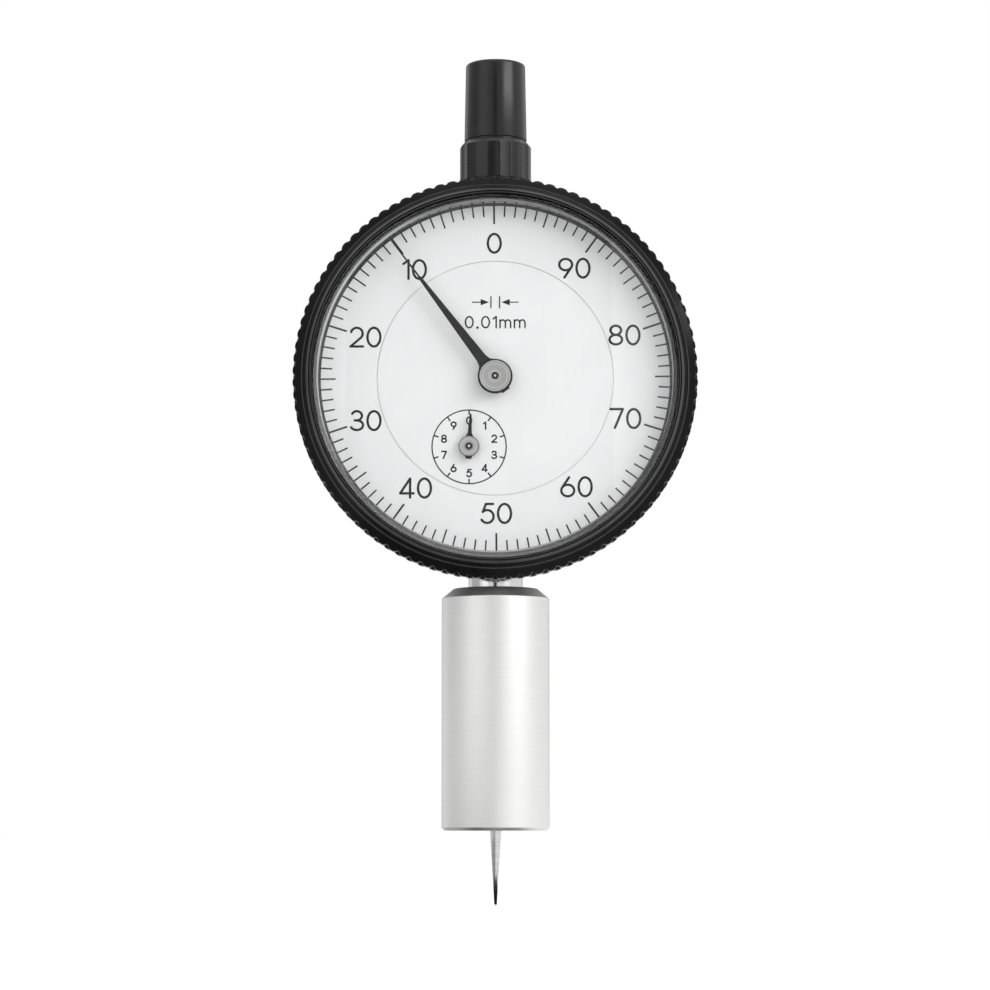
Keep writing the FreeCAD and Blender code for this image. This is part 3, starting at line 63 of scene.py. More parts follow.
# Places taken from the frame
CRYSTAL_LOW, CRYSTAL_HIGH = span("crystal")
BEZEL_LOW, BEZEL_HIGH = span("bezel_ring")
INNER_DIAL_HIGH = span("inner_dial")[1]
BASE_HIGH = span("reference_base")[1]
CAP_LOW, CAP_HIGH = span("spindle_cap")
NEEDLE_LOW, NEEDLE_HIGH = span("needle_point")
LONG_HUB_LOW, LONG_HUB_HIGH = span("long_hand_hub")
SMALL_HUB_LOW, SMALL_HUB_HIGH = span("small_hand_hub")
SCREW_LOW, SCREW_HIGH = span("base_clamp_screw")
STEM_LOW = span("stem")[0]
POST_LOW, POST_HIGH = span("spring_post")
PIN_LOW, PIN_HIGH = span("guide_pin")
DIAL_CENTRE = (0.0, (CRYSTAL_LOW.z + CRYSTAL_HIGH.z) / 2)
SUB_CENTRE = (
    (SMALL_HUB_LOW.x + SMALL_HUB_HIGH.x) / 2,
    (SMALL_HUB_LOW.z + SMALL_HUB_HIGH.z) / 2,
)
CRYSTAL_RADIUS = CRYSTAL_HIGH.z - DIAL_CENTRE[1]
CRYSTAL_FRONT = CRYSTAL_LOW.y
DIAL_FACE = CRYSTAL_HIGH.y
BEZEL_RADIUS = BEZEL_HIGH.z - DIAL_CENTRE[1]
BEZEL_FRONT = BEZEL_LOW.y
BEZEL_BACK = BEZEL_HIGH.y
INNER_DIAL_RADIUS = INNER_DIAL_HIGH.x
BASE_RADIUS = BASE_HIGH.x
BASE_TOP = BASE_HIGH.z
FLOOR_HEIGHT = NEEDLE_LOW.z

# Reference base and needle
BASE_SHOULDER_WIDTH = 1.7
BASE_SHOULDER_HEIGHT = 1.45
BASE_EDGE = 0.45
BASE_FLOOR = 4.0
BASE_NEEDLE_HOLE_RADIUS = 1.15
BASE_WELL_RADIUS = 2.9
BASE_GRIP_RADIUS = 4.01
CLAMP_HOLE_GAP = 0.03
NEEDLE_RADIUS = 0.85
NEEDLE_TIP_RADIUS = 0.2
NEEDLE_HEAD_RADIUS = 1.8
NEEDLE_HEAD_LOW = 6.5
NEEDLE_HEAD_TOP = 8.5
NEEDLE_THREAD_RADIUS = 1.25

# Cap
CAP_SKIRT_RADIUS = 5.5
CAP_SKIRT_TOP_RADIUS = 5.35
CAP_SKIRT_HEIGHT = 6.05
CAP_SHOULDER_HEIGHT = 0.75
CAP_BARREL_RADIUS = 4.69
CAP_BARREL_TOP_RADIUS = 4.47
CAP_GROOVE_DEPTH = 0.3
CAP_GROOVE_WIDTH = 0.3
CAP_EDGE_ROUND = 0.5
CAP_NECK_RADIUS = 4.01
CAP_THREAD_HEIGHT = 4.6
CAP_WALL = 1.1
CAP_ROOF = 1.4
CAP_FLUTES = 18
CAP_FLUTE_RADIUS = 8.0
CAP_FLUTE_DEPTH = 0.12
CAP_FLUTE_START_DEG = 7.5
CAP_TALL_SIDE = 1.0
CAP_SKIRT_LEVELS = 12
CAP_DRAFT = 0.2

# Bezel and crystal
BEZEL_KNURL_TEETH = 100
BEZEL_KNURL_DEPTH = 0.4
BEZEL_KNURL_EDGE = 0.3
BEZEL_KNURL_POWER = 2.5
BEZEL_KNURL_RISE = 0.002
BEZEL_SEAT_GAP = 0.01
BEZEL_LIP_WIDTH = 0.35
BEZEL_LIP_ROUND = 0.15
BEZEL_SLOPE_WIDTH = 1.05
BEZEL_SLOPE_DEPTH = 1.05
BEZEL_SHOULDER_DEPTH = 0.75
BEZEL_BEAD_WIDTH = 0.16
BEZEL_BEAD_DROP = 0.3
BEZEL_BORE_GAP = 2.64
BEZEL_LEDGE_WIDTH = 0.9
BEZEL_LEDGE_BACK = 1.05
BEZEL_ROW_GAP = 0.06
# Inner and outer radii of the narrow grey bands of painted highlight and sheen on the bezel's front
BEZEL_HIGHLIGHT_BANDS = ((27.12, 27.26), (27.46, 27.84), (28.4, 28.56))
DIAL_THICKNESS = 0.4
CRYSTAL_WALL = 1.0
CRYSTAL_THICKNESS = 1.0
CRYSTAL_LIFT = 0.02
CRYSTAL_EDGE = 0.72
CRYSTAL_ROUND = 0.05

# Dial print
PRINT_THICKNESS = 0.012
DIVISIONS = 100
DIAL_TURN_DEG = 0.4
TICK_OUTER = 25.9
# Black ink ring at the dial's rim: painted shade for the dark gap where the crystal's wall meets the dial
DIAL_SHADE_RING_RADIUS = 25.98
DIAL_SHADE_RING_WIDTH = 0.26
DIAL_STEP_DEPTH = 0.12
DIAL_STEP_WIDTH = 0.11
DIAL_STEP_LAP = 0.4
TICK_TENTH_INNER = 23.1
TICK_FIFTH_INNER = 23.65
TICK_MINOR_INNER = 24.2
TICK_WIDTH = 0.23
TICK_TENTH_WIDTH = 0.28
NUMERAL_RADIUS = 20.2
NUMERAL_HEIGHT = 3.17
NUMERAL_STROKE = 0.36
NUMERAL_GAP = 0.3
UNIT_HEIGHT = 1.88
UNIT_STROKE = 0.23
UNIT_GAP = 0.34
UNIT_LIFT = 8.33
MARK_LIFT = 11.33
MARK_BAR_SPACING = 1.28
MARK_BAR_HEIGHT = 1.85
MARK_BAR_WIDTH = 0.19
MARK_ARROW_GAP = 0.27
MARK_ARROW_LENGTH = 1.25
MARK_ARROW_HALF = 0.48
MARK_LINE_LENGTH = 1.3
MARK_LINE_WIDTH = 0.17
MARK_LINE_OVERLAP = 0.1
SUB_DIVISIONS = 10
SUB_RING_RADIUS = 5.48
SUB_RING_WIDTH = 0.19
SUB_TICK_LENGTH = 0.72
SUB_TICK_WIDTH = 0.22
SUB_NUMERAL_RADIUS = 3.9
SUB_NUMERAL_HEIGHT = 1.27
SUB_NUMERAL_STROKE = 0.23

# Hubs and springs
HUB_BORE_RADIUS = 0.47
HUB_MOUTH_RADIUS = 0.6
HUB_MOUTH_DEPTH = 0.18
HUB_EDGE = 0.12
HUB_RIM_WIDTH = 0.16
HUB_RIM_FALL = 0.05
HUB_DISH = 0.05
HUB_LINE_PITCH = 0.26
HUB_LINE_DEPTH = 0.015
HUB_LINE_FALL_SHARE = 0.4
HUB_TOOL_LINE = 60.0
HUB_PIN_STAND = 0.12
# Black ring on the arbor's tip: painted shade for the dark hole round the pin
HUB_SHADE_RING_INNER_RADIUS = 0.19
HUB_SHADE_RING_RADIUS = 0.5
HUB_SHADE_RING_THICKNESS = 0.03
HUB_BOSS_RADIUS = 1.28
LONG_HUB_THICKNESS = 0.55
SMALL_HUB_THICKNESS = 0.25
SMALL_HUB_BOSS_RADIUS = 0.74
SPRING_WIRE_RADIUS = 0.15
SPRING_COIL_RADIUS = 1.15
SPRING_EYE_GAP = 0.23
SPRING_EYE_REACH = 0.6
SPRING_PITCH = 0.6
SPRING_TURN_STEPS = 12
SPRING_EYE_STEPS = 12
SPRING_EYE_FULL_STEPS = 16

# Mesh fineness
LATHE_STEPS = 256
KNURL_STEPS = 14
FLUTE_STEPS = 20
ROUND_STEPS = 5
ROUND_LIMIT = 0.49
TUBE_SIDES = 10
DOT_SIDES = 16
ARC_STEP_DEG = 12
RING_STEPS = 180
MERGE_GAP = 1e-4
SHARP_DEG = 35.0
CAP_SHARP_DEG = 20.0


def link(name, mesh):
    """Scene object of a finished mesh."""
    piece = bpy.data.objects.new(name, mesh)
    bpy.context.scene.collection.objects.link(piece)
    return piece


def shade(mesh, sharp_deg=SHARP_DEG):
    """Smooth shading, broken at edges that turn more than the angle."""
    mesh.polygons.foreach_set("use_smooth", [True] * len(mesh.polygons))
    mesh.set_sharp_from_angle(angle=math.radians(sharp_deg))


def rounded(corners):
    """Profile of (radius, height) points from (radius, height, round) corners."""
    points = []
    for index, (r, h, size) in enumerate(corners):
        if size == 0 or index in (0, len(corners) - 1):
            points.append((r, h))
            continue
        here = Vector((r, h))
        before = Vector(corners[index - 1][:2]) - here
        after = Vector(corners[index + 1][:2]) - here
        half = before.angle(after) / 2
        reach = min(size / math.tan(half), before.length * ROUND_LIMIT, after.length * ROUND_LIMIT)
        radius = reach * math.tan(half)
        start = here + before.normalized() * reach
        end = here + after.normalized() * reach
        inward = (before.normalized() + after.normalized()).normalized()
        middle = here + inward * (radius / math.sin(half))
        first = start - middle
        last = end - middle
        for step in range(ROUND_STEPS + 1):
            share = step / ROUND_STEPS
            point = middle + first.slerp(last, share).normalized() * radius
            points.append(tuple(point))
    return points


def lathe(name, profile, axis="Z", centre=(0.0, 0.0), closed=False, angles=None, shape=None):
    """Turned piece about Z, or the Y line through centre; shape(r, h, angle) gives another radius."""
    if angles is None:
        angles = [2 * math.pi * step / LATHE_STEPS for step in range(LATHE_STEPS)]
    mesh = bmesh.new()
    rings = []
    for r, h in profile:
        circle = []
        for angle in angles:
            reach = shape(r, h, angle) if shape else r
            if axis == "Z":
                point = (reach * math.cos(angle), reach * math.sin(angle), h)
            else:
                point = (centre[0] - reach * math.sin(angle), h, centre[1] + reach * math.cos(angle))
            circle.append(mesh.verts.new(Vector(point) * MM))
            if r == 0:
                break
        rings.append(circle)
    pairs = list(zip(rings, rings[1:]))
    if closed:
        pairs.append((rings[-1], rings[0]))
    for low, high in pairs:
        if len(low) == len(high) == 1:
            continue
        for step in range(len(angles)):
            after = (step + 1) % len(angles)
            corners = [low[step % len(low)], low[after % len(low)]]
            corners += [high[after % len(high)], high[step % len(high)]]
            mesh.faces.new(list(dict.fromkeys(corners)))
    bmesh.ops.recalc_face_normals(mesh, faces=mesh.faces)
    data = bpy.data.meshes.new(name)
    mesh.to_mesh(data)
    mesh.free()
    shade(data)
    return link(name, data)


def cut(piece, cutter):
    """Takes the cutter out of the piece for good."""
    modifier = piece.modifiers.new("cut", "BOOLEAN")
    modifier.object = cutter
    modifier.operation = "DIFFERENCE"
    modifier.solver = "EXACT"
    graph = bpy.context.evaluated_depsgraph_get()
    result = bpy.data.meshes.new_from_object(piece.evaluated_get(graph))
    piece.modifiers.clear()
    piece.data = result
    bpy.data.objects.remove(cutter)
    shade(piece.data)
    return piece


def tube(name, path, radius):
    """Closed tube along a list of points in millimetres."""
    mesh = bmesh.new()
    rings = []
    normal = None
    turns = [2 * math.pi * step / TUBE_SIDES for step in range(TUBE_SIDES)]
    for index, point in enumerate(path):
        here = Vector(point)
        ahead = Vector(path[min(index + 1, len(path) - 1)])
        behind = Vector(path[max(index - 1, 0)])
        along = (ahead - behind).normalized()
        if normal is None:
            normal = along.orthogonal().normalized()
        normal = (normal - along * normal.dot(along)).normalized()
        side = along.cross(normal)
        outward = [normal * math.cos(a) + side * math.sin(a) for a in turns]
        rings.append([mesh.verts.new((here + way * radius) * MM) for way in outward])
    for low, high in zip(rings, rings[1:]):
        for step in range(TUBE_SIDES):
            after = (step + 1) % TUBE_SIDES
            mesh.faces.new([low[step], low[after], high[after], high[step]])
    mesh.faces.new(rings[0])
    mesh.faces.new(rings[-1])
    bmesh.ops.recalc_face_normals(mesh, faces=mesh.faces)
    data = bpy.data.meshes.new(name)
    mesh.to_mesh(data)
    mesh.free()
    shade(data)
    return link(name, data)


# Material nodes. Sizes are millimetres, and most of a noise lies between its low and high value.
NOISE_LOW = 0.3
NOISE_HIGH = 0.7
TOOL_LINE = 9.0
LINE_DRIFT = (1.0, 0.7, 0.6)
BROAD_LINES = 9
BROAD_GRAIN = 40
WEAR_SIZE = 2.5
LINE_DETAIL = 2.0
GRAIN_DETAIL = 3.0
ACRYLIC_IOR = 1.49
ACRYLIC_WEAR_SIZE = 6.0
ACRYLIC_ROUGH = (0.0, 0.012)
RUBY_IOR = 1.76
RUBY_CLEARNESS = 0.7
RUBY_CLOUD_SIZE = 0.4
RUBY_TONES = ((0.35, 0.01, 0.04), (0.6, 0.03, 0.09))
RUBY_WEAR_SIZE = 0.2
RUBY_ROUGH = (0.03, 0.1)


def feed(tree, socket, source):
    """Gives a socket a plain value or another node's output."""
    if isinstance(source, bpy.types.NodeSocket):
        tree.links.new(source, socket)
    else:
        socket.default_value = source


def vector_math(tree, operation, first, second=None):
    """Output of a vector operation on values or other nodes' outputs."""
    made = tree.nodes.new("ShaderNodeVectorMath")
    made.operation = operation
    feed(tree, made.inputs[0], first)
    if second is not None:
        feed(tree, made.inputs[1], second)
    return made.outputs["Value" if operation in ("LENGTH", "DOT_PRODUCT") else "Vector"]


def place_in_piece(tree):
    """Coordinates fixed to the piece, in metres."""
    return tree.nodes.new("ShaderNodeTexCoord").outputs["Object"]


def noise_at(tree, place, scale, detail):
    """Noise over coordinates that are multiplied by a scale for each axis."""
    noise = tree.nodes.new("ShaderNodeTexNoise")
    noise.inputs["Scale"].default_value = 1.0
    noise.inputs["Detail"].default_value = detail
    feed(tree, noise.inputs["Vector"], vector_math(tree, "MULTIPLY", place, scale))
    return noise.outputs[0]


def grain(tree, size):
    """Noise whose features are about size millimetres."""
    return noise_at(tree, place_in_piece(tree), [1 / (size * MM)] * 3, GRAIN_DETAIL)


def tool_lines(tree, pitch, axis, centre, length):
    """Noise drawn out around the turning axis, as the tool leaves it."""
    along = Vector((0, 0, 1)) if axis == "Z" else Vector((0, 1, 0))
    across = Vector((1, 1, 1)) - along
    middle = Vector((centre[0], 0, centre[1])) * MM if axis == "Y" else Vector((0, 0, 0))
    here = vector_math(tree, "SUBTRACT", place_in_piece(tree), middle)
    radius = vector_math(tree, "LENGTH", vector_math(tree, "MULTIPLY", here, across))
    height = vector_math(tree, "DOT_PRODUCT", here, along)
    around = vector_math(tree, "DOT_PRODUCT", here, Vector(LINE_DRIFT))
    joined = tree.nodes.new("ShaderNodeCombineXYZ")
    feed(tree, joined.inputs["X"], radius)
    feed(tree, joined.inputs["Y"], height)
    feed(tree, joined.inputs["Z"], around)
    scale = (1 / (pitch * MM), 1 / (pitch * MM), 1 / (length * MM))
    return noise_at(tree, joined.outputs[0], scale, LINE_DETAIL)


def spread(tree, factor, low, high):
    """Noise factor turned into a range of values."""
    made = tree.nodes.new("ShaderNodeMapRange")
    feed(tree, made.inputs["Value"], factor)
    made.inputs["From Min"].default_value = NOISE_LOW
    made.inputs["From Max"].default_value = NOISE_HIGH
    made.inputs["To Min"].default_value = low
    made.inputs["To Max"].default_value = high
    return made.outputs["Result"]


def tones(tree, factor, dark, light):
    """Noise factor turned into a colour between two tones."""
    ramp = tree.nodes.new("ShaderNodeValToRGB")
    feed(tree, ramp.inputs[0], factor)
    ramp.color_ramp.elements[0].position = NOISE_LOW
    ramp.color_ramp.elements[0].color = (*dark, 1)
    ramp.color_ramp.elements[1].position = NOISE_HIGH
    ramp.color_ramp.elements[1].color = (*light, 1)
    return ramp.outputs["Color"]


def relief(tree, factor, depth, under=None):
    """Bump of the given depth in millimetres, on top of another one."""
    bump = tree.nodes.new("ShaderNodeBump")
    bump.inputs["Distance"].default_value = depth * MM
    bump.inputs["Strength"].default_value = 1.0
    feed(tree, bump.inputs["Height"], factor)
    if under is not None:
        feed(tree, bump.inputs["Normal"], under)
    return bump.outputs["Normal"]


def new_material(name):
    """Material with its node tree and its shader."""
    material = bpy.data.materials.new(name)
    material.use_nodes = True
    tree = material.node_tree
    return material, tree, tree.nodes["Principled BSDF"]


def turned_metal(name, dark, light, rough, pitch, depth, axis="Z", centre=(0, 0), length=TOOL_LINE):
    """Metal with the fine lines of turning or grinding about an axis."""
    material, tree, shader = new_material(name)
    shader.inputs["Metallic"].default_value = 1.0
    lines = tool_lines(tree, pitch, axis, centre, length)
    broad = tool_lines(tree, pitch * BROAD_LINES, axis, centre, length)
    feed(tree, shader.inputs["Base Color"], tones(tree, broad, dark, light))
    feed(tree, shader.inputs["Roughness"], spread(tree, grain(tree, WEAR_SIZE), *rough))
    fine = relief(tree, lines, depth)
    feed(tree, shader.inputs["Normal"], relief(tree, broad, depth, under=fine))
    return material


def coated(name, dark, light, rough, size, depth, shine=0.5):
    """Paint, ink, rubber or moulded skin with a fine even grain; shine 0.5 reflects as plastic does."""
    material, tree, shader = new_material(name)
    shader.inputs["Specular IOR Level"].default_value = shine
    fine = grain(tree, size)
    broad = grain(tree, size * BROAD_GRAIN)
    feed(tree, shader.inputs["Base Color"], tones(tree, broad, dark, light))
    feed(tree, shader.inputs["Roughness"], spread(tree, broad, *rough))
    feed(tree, shader.inputs["Normal"], relief(tree, fine, depth))
    return material


def clear_cover(name, tint):
    """Clear polished acrylic that lets the lamps through to the dial."""
    material, tree, shader = new_material(name)
    shader.inputs["Base Color"].default_value = (*tint, 1)
    shader.inputs["Transmission Weight"].default_value = 1.0
    shader.inputs["IOR"].default_value = ACRYLIC_IOR
    wear = grain(tree, ACRYLIC_WEAR_SIZE)
    feed(tree, shader.inputs["Roughness"], spread(tree, wear, *ACRYLIC_ROUGH))
    path = tree.nodes.new("ShaderNodeLightPath")
    through = tree.nodes.new("ShaderNodeBsdfTransparent")
    mix = tree.nodes.new("ShaderNodeMixShader")
    tree.links.new(path.outputs["Is Shadow Ray"], mix.inputs[0])
    tree.links.new(shader.outputs[0], mix.inputs[1])
    tree.links.new(through.outputs[0], mix.inputs[2])
    tree.links.new(mix.outputs[0], tree.nodes["Material Output"].inputs["Surface"])
    return material


def ruby(name):
    """Clear red stone of the pivot bearings."""
    material, tree, shader = new_material(name)
    shader.inputs["Transmission Weight"].default_value = RUBY_CLEARNESS
    shader.inputs["IOR"].default_value = RUBY_IOR
    cloud = grain(tree, RUBY_CLOUD_SIZE)
    wear = grain(tree, RUBY_WEAR_SIZE)
    feed(tree, shader.inputs["Base Color"], tones(tree, cloud, *RUBY_TONES))
    feed(tree, shader.inputs["Roughness"], spread(tree, wear, *RUBY_ROUGH))
    return material


# Dark and light tone, roughness range, pitch and depth of the tool lines, their axis, centre and length
METALS = {
    "satin_steel": ((0.69, 0.69, 0.685), (0.71, 0.71, 0.705), (0.45, 0.49), 0.05, 0.00003),
    "polished_steel": ((0.58, 0.58, 0.58), (0.66, 0.66, 0.66), (0.1, 0.16), 0.04, 0.0003),
    "needle_steel": ((0.46, 0.46, 0.46), (0.56, 0.56, 0.56), (0.14, 0.2), 0.04, 0.0003),
    "ground_steel": ((0.55, 0.55, 0.55), (0.66, 0.66, 0.66), (0.18, 0.28), 0.04, 0.0006),
    "screw_steel": ((0.5, 0.5, 0.51), (0.62, 0.62, 0.63), (0.2, 0.32), 0.06, 0.0008, "Y", DIAL_CENTRE),
    "spring_steel": ((0.38, 0.39, 0.42), (0.52, 0.53, 0.55), (0.2, 0.3), 0.08, 0.0006),
    "brass": ((0.62, 0.44, 0.17), (0.78, 0.58, 0.27), (0.24, 0.36), 0.07, 0.001, "Y", DIAL_CENTRE),
    "bronze": ((0.46, 0.3, 0.15), (0.6, 0.42, 0.22), (0.28, 0.4), 0.06, 0.001),
    # The hubs' wide span from dark to light tone along the tool lines is partly real turning marks, partly
    # painted sheen of light and dark rings
    "hub_silver": (
        (0.22, 0.22, 0.215), (0.6, 0.6, 0.595), (0.34, 0.4), 0.03, 0.001, "Y", DIAL_CENTRE, HUB_TOOL_LINE,
    ),
    "small_hub_silver": (
        (0.2, 0.2, 0.195), (0.56, 0.56, 0.555), (0.34, 0.4), 0.03, 0.001, "Y", SUB_CENTRE, HUB_TOOL_LINE,
    ),
}
# Dark and light tone, roughness range, size and depth of the grain, then the shine where it isn't 0.5
COATINGS = {
    "black_enamel": ((0.002, 0.002, 0.002), (0.004, 0.004, 0.004), (0.2, 0.27), 0.06, 0.0012, 0.1),
    # Lighter, shinier enamel for the thin bands of painted highlight and sheen on the bezel's front
    "painted_highlight_enamel": ((0.035, 0.035, 0.035), (0.05, 0.05, 0.05), (0.3, 0.4), 0.06, 0.0012, 0.3),
    "case_enamel": ((0.009, 0.009, 0.0095), (0.016, 0.016, 0.0165), (0.26, 0.34), 0.09, 0.003),
    "black_resin": ((0.006, 0.006, 0.0065), (0.01, 0.01, 0.0105), (0.22, 0.27), 0.05, 0.0012, 0.36),
    "hand_black": ((0.0015, 0.0015, 0.0015), (0.004, 0.004, 0.004), (0.3, 0.4), 0.08, 0.002, 0.08),
    "print_ink": ((0.002, 0.002, 0.002), (0.005, 0.005, 0.005), (0.4, 0.55), 0.06, 0.0006, 0.05),
    "dial_white": ((0.88, 0.88, 0.884), (0.905, 0.905, 0.908), (0.42, 0.5), 0.12, 0.0008),
    "seal_rubber": ((0.014, 0.014, 0.014), (0.024, 0.024, 0.024), (0.6, 0.75), 0.05, 0.004),
}
MATERIALS = {name: turned_metal(name + "_finish", *finish) for name, finish in METALS.items()}
MATERIALS.update({name: coated(name + "_finish", *finish) for name, finish in COATINGS.items()})
MATERIALS["clear_acrylic"] = clear_cover("clear_acrylic_finish", (0.985, 0.99, 0.99))
# Dark-tinted acrylic for the crystal's bevel: painted shade for the dark that the rim shows by refraction
# and reflection
MATERIALS["bevel_acrylic"] = clear_cover("bevel_acrylic_finish", (0.1, 0.1, 0.1))
MATERIALS["jewel_red"] = ruby("jewel_red_finish")


def dress_frame():
    """Finish of its slot for every carried-over piece; case and rear cover have their own enamel."""
    for name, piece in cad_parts.items():
        for holder in piece.material_slots:
            slot_name = holder.material.name.split(".")[0]
            finish = "case_enamel" if name in ("case_body", "rear_cover") else slot_name
            holder.material = MATERIALS[finish]


def place(piece, body, slot_name, *nodes, finish=None):
    """Finishes a new piece: material, body, slot and the nodes that it stands for."""
    piece.data.materials.clear()
    piece.data.materials.append(MATERIALS[finish or slot_name])
    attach(piece, body)
    if nodes:
        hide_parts(*nodes)


# Turned pieces. An outline's corners are (radius, height, rounding), or (radius, depth, rounding) about Y.

def second_finish(piece, finish, centre, bands, front):
    """Another finish on the faces between pairs of radii and in front of a depth."""
    piece.data.materials.append(MATERIALS[finish])
    for face in piece.data.polygons:
        x, y, z = face.center / MM
        radius = math.hypot(x - centre[0], z - centre[1])
        if y < front and any(low < radius < high for low, high in bands):
            face.material_index = 1


def make_base():
    """Round base, chamfered at both ends, with bores for stem and needle and the hole of its screw."""
    base = lathe("base_shell", rounded([
        (BASE_NEEDLE_HOLE_RADIUS, 0, 0.1),
        (BASE_RADIUS - BASE_EDGE, 0, 0.05),
        (BASE_RADIUS, BASE_EDGE, 0.05),
        (BASE_RADIUS, BASE_TOP - BASE_SHOULDER_HEIGHT, 0.12),
        (BASE_RADIUS - BASE_SHOULDER_WIDTH, BASE_TOP, 0.12),
        (BASE_GRIP_RADIUS, BASE_TOP, 0.1),
        (BASE_GRIP_RADIUS, STEM_LOW.z, 0),
        (BASE_WELL_RADIUS, STEM_LOW.z, 0.1),
        (BASE_WELL_RADIUS, BASE_FLOOR, 0.3),
        (BASE_NEEDLE_HOLE_RADIUS, BASE_FLOOR, 0),
    ]), closed=True)
    screw_centre = (0.0, (SCREW_LOW.z + SCREW_HIGH.z) / 2)
    radius = (SCREW_HIGH.z - SCREW_LOW.z) / 2 + CLAMP_HOLE_GAP
    hole = lathe("hole", [
        (0, BASE_GRIP_RADIUS / 2),
        (radius, BASE_GRIP_RADIUS / 2),
        (radius, BASE_RADIUS + 1),
        (0, BASE_RADIUS + 1),
    ], "Y", screw_centre)
    place(cut(base, hole), "case", "satin_steel", "reference_base")


def make_needle():
    """Tapered needle with a round tip, and above the measuring face its head and thread."""
    half_tip = NEEDLE_TIP_RADIUS * math.sqrt(0.5)
    profile = [(0, NEEDLE_LOW.z), (half_tip, NEEDLE_LOW.z + NEEDLE_TIP_RADIUS - half_tip)]
    profile += rounded([
        (NEEDLE_TIP_RADIUS, NEEDLE_LOW.z + NEEDLE_TIP_RADIUS, 0),
        (NEEDLE_RADIUS, 0, 2.0),
        (NEEDLE_RADIUS, NEEDLE_HEAD_LOW, 0.1),
        (NEEDLE_HEAD_RADIUS, NEEDLE_HEAD_LOW, 0.15),
        (NEEDLE_HEAD_RADIUS, NEEDLE_HEAD_TOP, 0.1),
        (NEEDLE_THREAD_RADIUS, NEEDLE_HEAD_TOP, 0),
        (NEEDLE_THREAD_RADIUS, NEEDLE_HIGH.z, 0.2),
        (0, NEEDLE_HIGH.z, 0),
    ])
    needle = lathe("needle_contact", profile)
    place(needle, "spindle", "polished_steel", "needle_point", finish="needle_steel")


def flute_radius(reach, height, angle):
    """Radius left by the shallow finger flutes at an angle about the cap."""
    turn = 2 * math.pi / CAP_FLUTES
    start = math.radians(CAP_FLUTE_START_DEG)
    off = (angle - start + turn / 2) % turn - turn / 2
    distance = CAP_SKIRT_TOP_RADIUS - CAP_FLUTE_DEPTH + CAP_FLUTE_RADIUS
    side = distance * math.sin(off)
    above = height >= CAP_LOW.z + CAP_SKIRT_HEIGHT
    if above or abs(side) >= CAP_FLUTE_RADIUS or reach < CAP_BARREL_RADIUS:
        return reach
    floor = distance * math.cos(off) - math.sqrt(CAP_FLUTE_RADIUS ** 2 - side ** 2)
    return min(reach, floor)


def make_cap():
    """Fluted skirt, groove and slightly tapered barrel of the cap, hollow inside."""
    low, top = CAP_LOW.z, CAP_HIGH.z
    skirt_top = low + CAP_SKIRT_HEIGHT
    groove_top = skirt_top + CAP_GROOVE_WIDTH
    inner = CAP_BARREL_RADIUS - CAP_WALL
    profile = rounded([
        (CAP_NECK_RADIUS, low, 0.1),
        (CAP_SKIRT_RADIUS, low, 0.3),
        (CAP_SKIRT_TOP_RADIUS, skirt_top - CAP_SHOULDER_HEIGHT, 0.35),
        (CAP_BARREL_RADIUS, skirt_top, 0.12),
        (CAP_BARREL_RADIUS - CAP_GROOVE_DEPTH, skirt_top, 0.05),
        (CAP_BARREL_RADIUS - CAP_GROOVE_DEPTH, groove_top, 0.05),
        (CAP_BARREL_RADIUS, groove_top, 0.08),
        (CAP_BARREL_TOP_RADIUS, top, CAP_EDGE_ROUND),
        (inner, top, 0),
        (0, top, 0),
    ])
    # The skirt's tall side gets levels of its own, so that the flutes can run out in it
    fine = []
    for start, end in zip(profile, profile[1:]):
        fine.append(start)
        if start[1] < skirt_top and end[1] - start[1] > CAP_TALL_SIDE:
            shares = [level / CAP_SKIRT_LEVELS for level in range(1, CAP_SKIRT_LEVELS)]
            fine += [tuple(Vector(start).lerp(Vector(end), share)) for share in shares]
    fine.append(profile[-1])
    inside = [
        (0, top - CAP_ROOF),
        (inner - CAP_DRAFT, top - CAP_ROOF),
        (inner, low + CAP_THREAD_HEIGHT),
        (CAP_NECK_RADIUS, low + CAP_THREAD_HEIGHT),
    ]
    steps = CAP_FLUTES * FLUTE_STEPS
    angles = [2 * math.pi * step / steps for step in range(steps)]
    cap = lathe("cap_shell", fine + inside, angles=angles, shape=flute_radius, closed=True)
    shade(cap.data, CAP_SHARP_DEG)
    place(cap, "case", "black_resin", "spindle_cap")


def knurled(reach, depth, angle):
    """Radius of the bezel round its finger grip; the back row of teeth stands half a tooth further on."""
    root = BEZEL_RADIUS - BEZEL_KNURL_DEPTH
    if reach <= root + BEZEL_KNURL_RISE / 2:
        return reach
    row_end = (BEZEL_FRONT + BEZEL_SLOPE_DEPTH + BEZEL_SHOULDER_DEPTH + BEZEL_BACK) / 2
    first = 0.0 if depth < row_end else 0.5
    share = (angle * BEZEL_KNURL_TEETH / (2 * math.pi) + first) % 1.0
    off = abs(2 * share - 1)
    tooth = 1 - off ** BEZEL_KNURL_POWER
    return root + (reach - root) * tooth


